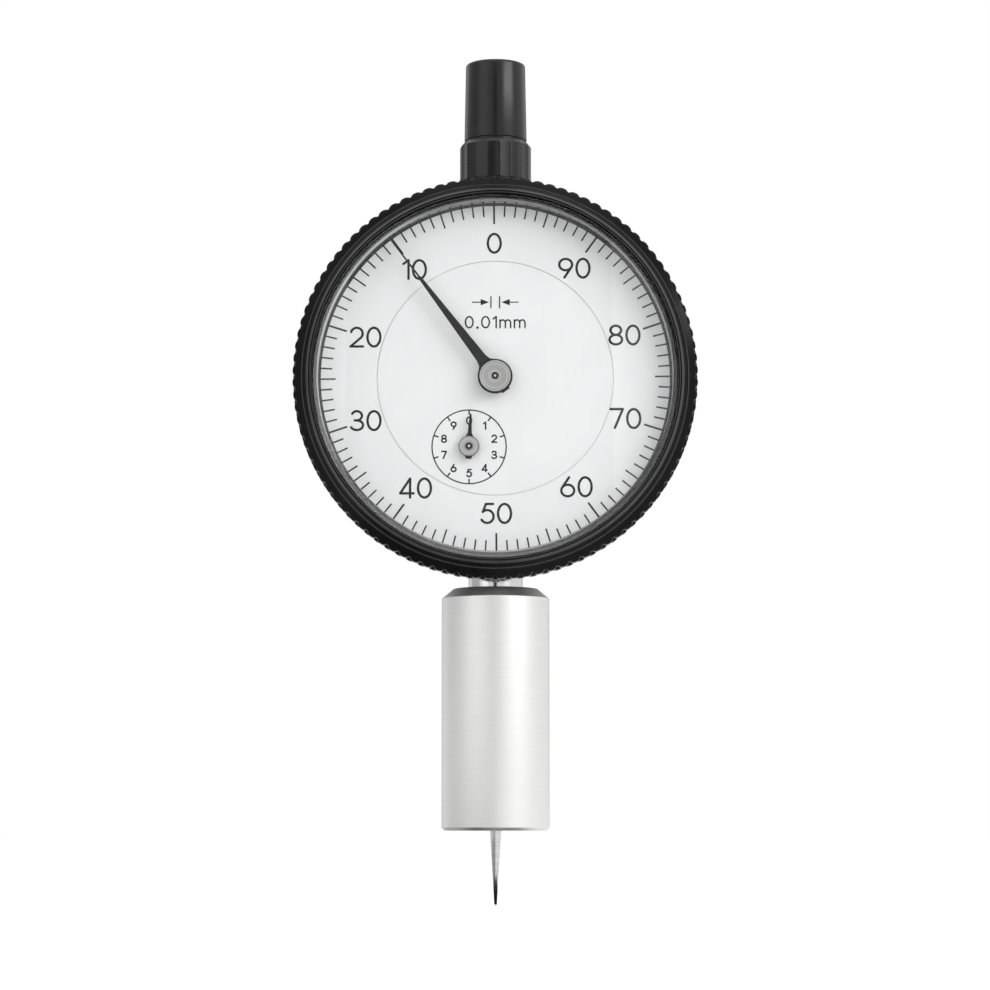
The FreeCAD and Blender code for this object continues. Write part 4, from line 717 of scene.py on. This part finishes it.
def make_bezel():
    """Turning bezel: seat of the crystal, lip, slope with a fine bead, shoulder and the knurled rim."""
    root = BEZEL_RADIUS - BEZEL_KNURL_DEPTH
    seat = CRYSTAL_RADIUS + BEZEL_SEAT_GAP
    lip = seat + BEZEL_LIP_ROUND
    slope_end = lip + BEZEL_LIP_WIDTH + BEZEL_SLOPE_WIDTH
    slope_back = BEZEL_FRONT + BEZEL_SLOPE_DEPTH
    knurl_front = slope_back + BEZEL_SHOULDER_DEPTH
    bore = BEZEL_RADIUS - BEZEL_BORE_GAP
    ledge_back = BEZEL_BACK - BEZEL_LEDGE_BACK
    dial_back = DIAL_FACE + DIAL_THICKNESS
    row_end = (knurl_front + BEZEL_BACK) / 2
    profile = rounded([
        (seat, dial_back, 0),
        (seat, BEZEL_FRONT, BEZEL_LIP_ROUND),
        (BEZEL_HIGHLIGHT_BANDS[0][1], BEZEL_FRONT, 0),
        (lip + BEZEL_LIP_WIDTH, BEZEL_FRONT, 0.04),
        (BEZEL_HIGHLIGHT_BANDS[1][1], (BEZEL_FRONT + slope_back) / 2, 0),
        (slope_end - BEZEL_BEAD_WIDTH, slope_back, 0.12),
        (slope_end, slope_back, 0.07),
        (slope_end + BEZEL_BEAD_WIDTH, slope_back + BEZEL_BEAD_DROP, 0.1),
        (root, knurl_front, 0.08),
        (root + BEZEL_KNURL_RISE, knurl_front + BEZEL_KNURL_RISE, 0),
        (BEZEL_RADIUS, knurl_front + BEZEL_KNURL_EDGE, 0.25),
        (BEZEL_RADIUS, row_end - BEZEL_ROW_GAP, 0),
        (BEZEL_RADIUS, row_end + BEZEL_ROW_GAP, 0),
        (BEZEL_RADIUS, BEZEL_BACK - BEZEL_KNURL_EDGE, 0.25),
        (root + BEZEL_KNURL_RISE, BEZEL_BACK - BEZEL_KNURL_RISE, 0),
        (root, BEZEL_BACK, 0),
        (bore, BEZEL_BACK, 0.1),
        (bore, ledge_back, 0),
        (CRYSTAL_RADIUS - BEZEL_LEDGE_WIDTH, ledge_back, 0),
        (CRYSTAL_RADIUS - BEZEL_LEDGE_WIDTH, dial_back, 0),
    ])
    steps = BEZEL_KNURL_TEETH * KNURL_STEPS
    angles = [2 * math.pi * step / steps for step in range(steps)]
    bezel = lathe("bezel_shell", profile, "Y", DIAL_CENTRE, True, angles, knurled)
    place(bezel, "bezel", "black_enamel", "bezel_ring")
    # Thin rings of the bezel's front get the lighter, shinier enamel: painted highlights and sheen
    second_finish(bezel, "painted_highlight_enamel", DIAL_CENTRE, BEZEL_HIGHLIGHT_BANDS, knurl_front)


def make_crystal():
    """Clear cover with a bevelled rim, whose skirt reaches down to the outer dial; its bevel is tinted dark
    as painted shade.
    """
    inner = CRYSTAL_RADIUS - CRYSTAL_WALL
    back = DIAL_FACE - CRYSTAL_LIFT
    crystal = lathe("crystal_cover", rounded([
        (0, CRYSTAL_FRONT, 0),
        (CRYSTAL_RADIUS - CRYSTAL_EDGE, CRYSTAL_FRONT, CRYSTAL_ROUND),
        (CRYSTAL_RADIUS, CRYSTAL_FRONT + CRYSTAL_EDGE, CRYSTAL_ROUND),
        (CRYSTAL_RADIUS, back, 0.03),
        (inner, back, 0.03),
        (inner, CRYSTAL_FRONT + CRYSTAL_THICKNESS, CRYSTAL_ROUND),
        (0, CRYSTAL_FRONT + CRYSTAL_THICKNESS, 0),
    ]), "Y", DIAL_CENTRE)
    place(crystal, "bezel", "clear_acrylic", "crystal")
    # The bevel's faces get the dark-tinted acrylic, painted shade on the rim of the cover
    bevel = (CRYSTAL_RADIUS - CRYSTAL_EDGE, CRYSTAL_RADIUS)
    second_finish(crystal, "bevel_acrylic", DIAL_CENTRE, [bevel], CRYSTAL_FRONT + CRYSTAL_EDGE)


def make_hub(name, low, high, centre, thickness, boss, body, node, finish):
    """Turned hub of a hand, with fine lines in its dished face and a black ring on the arbor's tip, painted
    shade for the dark hole round the pin.
    """
    face, radius = low.y, high.x - centre[0]
    back = face + thickness
    dish = radius - HUB_RIM_WIDTH - HUB_RIM_FALL
    count = round((dish - HUB_MOUTH_RADIUS) / HUB_LINE_PITCH)
    pitch = (dish - HUB_MOUTH_RADIUS) / count
    turned = []
    for line in range(count):
        start = HUB_MOUTH_RADIUS + line * pitch
        deepest = start + pitch * HUB_LINE_FALL_SHARE
        turned.append((deepest, face + HUB_DISH + HUB_LINE_DEPTH, 0.01))
        turned.append((start + pitch, face + HUB_DISH, 0.01))
    hub = lathe(name, rounded([
        (HUB_BORE_RADIUS, face + HUB_MOUTH_DEPTH, 0),
        (HUB_MOUTH_RADIUS, face + HUB_MOUTH_DEPTH, 0.02),
        (HUB_MOUTH_RADIUS, face + HUB_DISH, 0.03),
        *turned,
        (radius - HUB_RIM_WIDTH, face, 0.03),
        (radius - 0.03, face, 0.03),
        (radius, face + HUB_EDGE, 0.04),
        (radius, back, 0.04),
        (boss, back, 0),
        (boss, high.y, 0),
        (HUB_BORE_RADIUS, high.y, 0),
    ]), "Y", centre, True)
    place(hub, body, "hub_silver", node, finish=finish)
    front = face - HUB_PIN_STAND - HUB_SHADE_RING_THICKNESS
    # Black ring of painted shade round the bright tip of the arbor
    painted_shade_ring = lathe(name + "_ring", [
        (HUB_SHADE_RING_INNER_RADIUS, front),
        (HUB_SHADE_RING_RADIUS, front),
        (HUB_SHADE_RING_RADIUS, front + HUB_SHADE_RING_THICKNESS),
        (HUB_SHADE_RING_INNER_RADIUS, front + HUB_SHADE_RING_THICKNESS),
    ], "Y", centre, True)
    place(painted_shade_ring, body, "hand_black")


# Dial print: strokes merged into flat outlines, then given the thickness of ink

def arc(x, y, rx, ry, start, end):
    """Points of an elliptical arc, degrees counter-clockwise from the right."""
    steps = max(2, round(abs(end - start) / ARC_STEP_DEG))
    turns = [math.radians(start + (end - start) * step / steps) for step in range(steps + 1)]
    return [(x + rx * math.cos(a), y + ry * math.sin(a)) for a in turns]


SIX = [(0.41, 1.0)] + arc(0.339, 0.305, 0.339, 0.305, 145, 505)
# Each glyph has its width and its pen lines, on a cell one unit high
GLYPHS = {
    "0": (0.68, [arc(0.34, 0.5, 0.34, 0.5, 0, 360)]),
    "1": (0.27, [[(0.0, 0.8), (0.27, 1.0), (0.27, 0.0)]]),
    "2": (0.66, [arc(0.33, 0.69, 0.31, 0.31, 165, -42) + [(0.0, 0.0), (0.66, 0.0)]]),
    "3": (0.64, [
        arc(0.31, 0.755, 0.27, 0.245, 155, -90) + [(0.2, 0.51)],
        [(0.2, 0.51)] + arc(0.31, 0.255, 0.33, 0.255, 90, -155),
    ]),
    "4": (0.7, [[(0.52, 0.0), (0.52, 1.0), (0.0, 0.22), (0.7, 0.22)]]),
    "5": (0.64, [
        [(0.61, 1.0), (0.235, 1.0), (0.08, 0.575)],
        arc(0.304, 0.339, 0.338, 0.338, 134, -150),
    ]),
    "6": (0.678, [SIX]),
    "7": (0.64, [[(0.0, 1.0), (0.64, 1.0), (0.22, 0.0)]]),
    "8": (0.66, [arc(0.33, 0.755, 0.28, 0.245, 0, 360), arc(0.33, 0.255, 0.33, 0.255, 0, 360)]),
    "9": (0.678, [[(0.678 - x, 1 - y) for x, y in SIX]]),
    ".": (0.1, [arc(0.05, 0.0, 0.05, 0.05, 0, 360)]),
    "m": (0.95, [
        [(0.0, 0.0), (0.0, 0.7)],
        arc(0.2375, 0.45, 0.2375, 0.25, 180, 0) + [(0.475, 0.0)],
        arc(0.7125, 0.45, 0.2375, 0.25, 180, 0) + [(0.95, 0.0)],
    ]),
}


def disc(x, y, radius):
    """Corners of a round dot."""
    turns = [2 * math.pi * step / DOT_SIDES for step in range(DOT_SIDES)]
    return [(x + radius * math.cos(a), y + radius * math.sin(a)) for a in turns]


def pen_line(points, width):
    """Convex pieces of a line of constant width with round ends and corners."""
    half = width / 2
    shapes = []
    for start, end in zip(points, points[1:]):
        along = Vector(end) - Vector(start)
        side = Vector((-along.y, along.x)).normalized() * half
        corners = (Vector(start) + side, Vector(start) - side, Vector(end) - side, Vector(end) + side)
        shapes.append([tuple(corner) for corner in corners])
    shapes += [disc(x, y, half) for x, y in points]
    return shapes


def merged(shapes):
    """Points and triangles that cover flat shapes which may overlap."""
    points, faces = [], []
    for shape in shapes:
        turns = sum(a[0] * b[1] - b[0] * a[1] for a, b in zip(shape, shape[1:] + shape[:1]))
        faces.append(list(range(len(points), len(points) + len(shape))))
        points += [Vector(p) for p in (shape if turns > 0 else reversed(shape))]
    found = delaunay_2d_cdt(points, [], faces, 1, MERGE_GAP)
    kept = [face for face, origin in zip(found[2], found[5]) if origin]
    return found[0], kept


def printed(name, groups, body):
    """Ink on the dial face: each group of shapes is merged and raised by the print's thickness."""
    mesh = bmesh.new()
    for shapes in groups:
        points, faces = merged(shapes)
        levels = []
        for depth in (DIAL_FACE - PRINT_THICKNESS, DIAL_FACE):
            levels.append([mesh.verts.new(Vector((x, depth, z)) * MM) for x, z in points])
        edges = {}
        for face in faces:
            mesh.faces.new([levels[0][i] for i in face])
            mesh.faces.new([levels[1][i] for i in reversed(face)])
            for i, j in zip(face, face[1:] + face[:1]):
                edges[(i, j)] = edges.get((i, j), 0) + 1
        for i, j in edges:
            if (j, i) not in edges:
                mesh.faces.new([levels[0][j], levels[0][i], levels[1][i], levels[1][j]])
    loose = [v for v in mesh.verts if not v.link_faces]
    bmesh.ops.delete(mesh, geom=loose, context="VERTS")
    bmesh.ops.recalc_face_normals(mesh, faces=mesh.faces)
    data = bpy.data.meshes.new(name)
    mesh.to_mesh(data)
    mesh.free()
    place(link(name, data), body, "hand_black", finish="print_ink")


def text_lines(text, centre, height, stroke, gap):
    """Pen-line shapes of a text centred on a point, one group for each sign."""
    scale = height - stroke
    step = gap + stroke
    width = sum(GLYPHS[sign][0] * scale for sign in text) + step * (len(text) - 1)
    left = centre[0] - width / 2
    low = centre[1] - scale / 2
    groups = []
    for sign in text:
        shapes = []
        for line in GLYPHS[sign][1]:
            shapes += pen_line([(left + x * scale, low + y * scale) for x, y in line], stroke)
        groups.append(shapes)
        left += GLYPHS[sign][0] * scale + step
    return groups


def around(centre, radius, turn_deg):
    """Point at a clockwise angle from the top of a circle."""
    turn = math.radians(turn_deg)
    return (centre[0] + radius * math.sin(turn), centre[1] + radius * math.cos(turn))


def mark(centre, turn_deg, inner, outer, width):
    """Straight radial mark with square ends."""
    start = Vector(around(centre, inner, turn_deg))
    end = Vector(around(centre, outer, turn_deg))
    side = (end - start).orthogonal().normalized() * width / 2
    return [tuple(start + side), tuple(start - side), tuple(end - side), tuple(end + side)]


def ring(centre, radius, width):
    """Thin circle as a chain of short pieces."""
    shapes = []
    for step in range(RING_STEPS):
        turns = (360 * step / RING_STEPS, 360 * (step + 1) / RING_STEPS)
        near = [around(centre, radius - width / 2, t) for t in turns]
        far = [around(centre, radius + width / 2, t) for t in turns]
        shapes.append([near[0], near[1], far[1], far[0]])
    return shapes


def print_outer_dial():
    """Divisions, numbers that run counter-clockwise, and a black ring of painted shade at the rim of the
    turning dial, where the crystal's wall stands on it.
    """
    groups = []
    for index in range(DIVISIONS):
        turn = index * 360 / DIVISIONS
        inner = TICK_MINOR_INNER
        width = TICK_WIDTH
        if index % 10 == 0:
            inner, width = TICK_TENTH_INNER, TICK_TENTH_WIDTH
        elif index % 5 == 0:
            inner = TICK_FIFTH_INNER
        groups.append([mark(DIAL_CENTRE, turn - DIAL_TURN_DEG, inner, TICK_OUTER, width)])
        if index % 10 == 0:
            spot = around(DIAL_CENTRE, NUMERAL_RADIUS, -turn - DIAL_TURN_DEG)
            groups += text_lines(str(index), spot, NUMERAL_HEIGHT, NUMERAL_STROKE, NUMERAL_GAP)
    # Black ring of painted shade under the crystal's wall
    groups.append(ring(DIAL_CENTRE, DIAL_SHADE_RING_RADIUS, DIAL_SHADE_RING_WIDTH))
    printed("outer_print", groups, "bezel")


def print_inner_dial():
    """Unit, mark of one division and turns counter of the fixed dial."""
    x, z = DIAL_CENTRE
    groups = text_lines("0.01mm", (x, z + UNIT_LIFT), UNIT_HEIGHT, UNIT_STROKE, UNIT_GAP)
    level = z + MARK_LIFT
    for way in (-1, 1):
        bar = x + way * MARK_BAR_SPACING / 2
        left, right = bar - MARK_BAR_WIDTH / 2, bar + MARK_BAR_WIDTH / 2
        low, high = level - MARK_BAR_HEIGHT / 2, level + MARK_BAR_HEIGHT / 2
        groups.append([[(left, low), (right, low), (right, high), (left, high)]])
        tip = bar + way * MARK_ARROW_GAP
        back = tip + way * MARK_ARROW_LENGTH
        end = back + way * MARK_LINE_LENGTH
        half = MARK_LINE_WIDTH / 2
        head = [(tip, level), (back, level + MARK_ARROW_HALF), (back, level - MARK_ARROW_HALF)]
        start = back - way * MARK_LINE_OVERLAP
        line = [(start, level - half), (end, level - half), (end, level + half), (start, level + half)]
        groups.append([head, line])
    small = ring(SUB_CENTRE, SUB_RING_RADIUS, SUB_RING_WIDTH)
    for index in range(SUB_DIVISIONS):
        turn = index * 360 / SUB_DIVISIONS
        inner = SUB_RING_RADIUS - SUB_TICK_LENGTH
        small.append(mark(SUB_CENTRE, turn, inner, SUB_RING_RADIUS, SUB_TICK_WIDTH))
        spot = around(SUB_CENTRE, SUB_NUMERAL_RADIUS, turn)
        groups += text_lines(str(index), spot, SUB_NUMERAL_HEIGHT, SUB_NUMERAL_STROKE, 0.0)
    groups.append(small)
    printed("inner_print", groups, "case")


def make_dial_step():
    """Narrow step of the inner dial that closes the gap to the turning one just below their faces."""
    inner = INNER_DIAL_RADIUS - DIAL_STEP_LAP
    outer = INNER_DIAL_RADIUS + DIAL_STEP_WIDTH
    front = DIAL_FACE + DIAL_STEP_DEPTH
    back = DIAL_FACE + DIAL_THICKNESS
    step = lathe("dial_step", [
        (inner, front),
        (outer, front),
        (outer, back),
        (inner, back),
    ], "Y", DIAL_CENTRE, True)
    place(step, "case", "dial_white")


def make_return_spring():
    """Helix from the fixed post up to the pin on the spindle, made as one fixed mesh; the real spring
    stretches as the spindle rises.
    """
    x = (POST_LOW.x + POST_HIGH.x) / 2
    low = (POST_LOW.z + POST_HIGH.z) / 2
    high = (PIN_LOW.z + PIN_HIGH.z) / 2
    post_radius = (POST_HIGH.z - POST_LOW.z) / 2
    eye = post_radius + SPRING_EYE_GAP
    eye_turns = [2 * math.pi * step / SPRING_EYE_FULL_STEPS for step in range(SPRING_EYE_STEPS)]
    path = [(x + eye * math.sin(a), 0, low - eye * math.cos(a)) for a in eye_turns]
    coil_low = low + eye + SPRING_EYE_REACH
    coil_high = high - eye - SPRING_EYE_REACH
    count = round((coil_high - coil_low) / SPRING_PITCH)
    steps = count * SPRING_TURN_STEPS
    for step in range(steps + 1):
        angle = 2 * math.pi * step / SPRING_TURN_STEPS
        across = SPRING_COIL_RADIUS * math.cos(angle)
        depth = SPRING_COIL_RADIUS * math.sin(angle)
        path.append((x + across, depth, coil_low + (coil_high - coil_low) * step / steps))
    path += [(x, eye * math.sin(a), high - eye * math.cos(a)) for a in eye_turns]
    spring = tube("spring_coil", path, SPRING_WIRE_RADIUS)
    spring.data.materials.append(MATERIALS["spring_steel"])
    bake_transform(spring)
    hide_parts("return_spring")


# Studio, in metres. The camera's angles are radians, its lens and sensor millimetres.
CAMERA_PLACE = (0.003733, -0.477043, -0.00091)
CAMERA_YAW = -0.008
CAMERA_PITCH = 0.106
CAMERA_LENS = 116.83
CAMERA_SENSOR = 36
AIM = Vector((0, 0, DIAL_CENTRE[1] * MM))
# Name, place, size and radiance, where 1 looks white
LAMPS = (
    ("key", (0.52, -0.42, 0.1), (0.3, 0.3), 0.25),
    ("cap_key", (0.47, -0.39, 0.33), (0.4, 0.13), 6.4),
    ("fill", (-0.5, -0.5, 0.3), (0.4, 0.5), 0.45),
    ("top", (0.05, -0.15, 0.75), (0.6, 0.5), 1.0),
)
# Name, place, size and grey of the cards that stand round the object
STANDING_CARDS = (
    ("flag_back", (-0.02, -0.9, 0.06), (0.22, 0.9), 0.03),
    ("flag_left", (-0.7, 0.1, 0.06), (0.7, 0.9), 0.6),
    ("flag_behind", (0.0, 0.6, 0.06), (0.6, 0.9), 0.2),
)
# Name, place, lift above the floor, size and grey of the cards that lie on it: painted shade on the floor,
# seen only in mirror-like surfaces, under the object and to its left where its shadow falls
PAINTED_SHADE_CARDS = (
    ("painted_shade_low", (-0.042, -0.03), 0.0001, (0.08, 0.12), 0.5),
    ("painted_shadow_under", (0.0, 0.0), 0.0002, (0.021, 0.021), 0.02),
)
SKY_LIGHT = 0.62
FLOOR_REACH = 6.0
FLOOR_PAPER = 0.9
FLOOR_GLOW = 0.46


def make_camera():
    """Camera at the photograph's place, level with the measuring face and turned up a little."""
    data = bpy.data.cameras.new("camera")
    data.lens = CAMERA_LENS
    data.sensor_width = CAMERA_SENSOR
    camera = bpy.data.objects.new("camera", data)
    bpy.context.scene.collection.objects.link(camera)
    camera.location = CAMERA_PLACE
    forward = Vector((
        math.sin(CAMERA_YAW) * math.cos(CAMERA_PITCH),
        math.cos(CAMERA_YAW) * math.cos(CAMERA_PITCH),
        math.sin(CAMERA_PITCH)))
    camera.rotation_euler = forward.to_track_quat("-Z", "Y").to_euler()
    bpy.context.scene.camera = camera


def softbox(name, spot, size, radiance):
    """Rectangular lamp that faces the dial's middle; its watts follow from radiance and area."""
    data = bpy.data.lights.new(name, "AREA")
    data.shape = "RECTANGLE"
    data.size, data.size_y = size
    data.energy = radiance * math.pi * size[0] * size[1]
    lamp = bpy.data.objects.new(name, data)
    bpy.context.scene.collection.objects.link(lamp)
    lamp.location = spot
    lamp.rotation_euler = (AIM - Vector(spot)).to_track_quat("-Z", "Y").to_euler()


def sheet_mesh(name, width, height):
    """Flat rectangle about the origin."""
    mesh = bpy.data.meshes.new(name)
    ways = ((-1, -1), (1, -1), (1, 1), (-1, 1))
    mesh.from_pydata([(x * width / 2, y * height / 2, 0) for x, y in ways], [], [(0, 1, 2, 3)])
    return mesh


def flag(name, spot, size, grey, aim=AIM):
    """Grey card that only mirror-like surfaces see, as the dark side of a studio, or as painted shade on
    its floor.
    """
    mesh = sheet_mesh(name, *size)
    card = link(name, mesh)
    card.location = spot
    card.rotation_euler = (aim - Vector(spot)).to_track_quat("-Z", "Y").to_euler()
    material = bpy.data.materials.new(name)
    material.use_nodes = True
    tree = material.node_tree
    tree.nodes.clear()
    glow = tree.nodes.new("ShaderNodeEmission")
    glow.inputs["Color"].default_value = (grey, grey, grey, 1)
    output = tree.nodes.new("ShaderNodeOutputMaterial")
    tree.links.new(glow.outputs[0], output.inputs["Surface"])
    mesh.materials.append(material)
    card.visible_camera = False
    card.visible_diffuse = False
    card.visible_shadow = False
    card.visible_transmission = False


def directly_seen(tree):
    """1 for the camera, through glass and in mirror-like surfaces, 0 as light on the object."""
    path = tree.nodes.new("ShaderNodeLightPath")
    seen = path.outputs["Is Camera Ray"]
    for way in ("Is Transmission Ray", "Is Glossy Ray"):
        either = tree.nodes.new("ShaderNodeMath")
        either.operation = "MAXIMUM"
        tree.links.new(seen, either.inputs[0])
        tree.links.new(path.outputs[way], either.inputs[1])
        seen = either.outputs[0]
    return seen


def make_world():
    """White for the camera and mirror-like surfaces, a softer level as light."""
    world = bpy.data.worlds.new("studio")
    bpy.context.scene.world = world
    world.use_nodes = True
    tree = world.node_tree
    tree.nodes.clear()
    light = tree.nodes.new("ShaderNodeBackground")
    light.inputs["Strength"].default_value = SKY_LIGHT
    white = tree.nodes.new("ShaderNodeBackground")
    white.inputs["Strength"].default_value = 1.0
    for background in (light, white):
        background.inputs["Color"].default_value = (1, 1, 1, 1)
    mix = tree.nodes.new("ShaderNodeMixShader")
    tree.links.new(directly_seen(tree), mix.inputs[0])
    tree.links.new(light.outputs[0], mix.inputs[1])
    tree.links.new(white.outputs[0], mix.inputs[2])
    output = tree.nodes.new("ShaderNodeOutputWorld")
    tree.links.new(mix.outputs[0], output.inputs["Surface"])


def make_floor():
    """Pale floor at the needle's tip, kept white for the camera but for the soft shadow."""
    mesh = sheet_mesh("floor", 2 * FLOOR_REACH, 2 * FLOOR_REACH)
    floor = link("floor", mesh)
    floor.location = (0, 0, FLOOR_HEIGHT * MM)
    material = bpy.data.materials.new("floor")
    material.use_nodes = True
    tree = material.node_tree
    tree.nodes.clear()
    paper = tree.nodes.new("ShaderNodeBsdfDiffuse")
    paper.inputs["Color"].default_value = (FLOOR_PAPER, FLOOR_PAPER, FLOOR_PAPER, 1)
    glow = tree.nodes.new("ShaderNodeEmission")
    both = tree.nodes.new("ShaderNodeAddShader")
    tree.links.new(directly_seen(tree), glow.inputs["Strength"])
    glow.inputs["Color"].default_value = (FLOOR_GLOW, FLOOR_GLOW, FLOOR_GLOW, 1)
    tree.links.new(paper.outputs[0], both.inputs[0])
    tree.links.new(glow.outputs[0], both.inputs[1])
    output = tree.nodes.new("ShaderNodeOutputMaterial")
    tree.links.new(both.outputs[0], output.inputs["Surface"])
    mesh.materials.append(material)


dress_frame()
make_base()
make_needle()
make_cap()
make_bezel()
make_crystal()
make_hub("long_hub", LONG_HUB_LOW, LONG_HUB_HIGH, DIAL_CENTRE, LONG_HUB_THICKNESS, HUB_BOSS_RADIUS,
         "long_hand", "long_hand_hub", "hub_silver")
make_hub("small_hub", SMALL_HUB_LOW, SMALL_HUB_HIGH, SUB_CENTRE, SMALL_HUB_THICKNESS, SMALL_HUB_BOSS_RADIUS,
         "small_hand", "small_hand_hub", "small_hub_silver")
print_outer_dial()
print_inner_dial()
make_dial_step()
make_return_spring()
make_camera()
for lamp in LAMPS:
    softbox(*lamp)
for card in STANDING_CARDS:
    flag(*card)
# Cards of painted shade on the floor, seen only in mirror-like surfaces
for name, spot, lift, size, grey in PAINTED_SHADE_CARDS:
    flag(name, (*spot, FLOOR_HEIGHT * MM + lift), size, grey, Vector((*spot, 1)))
make_world()
make_floor()
bpy.context.scene.view_settings.view_transform = "Standard"
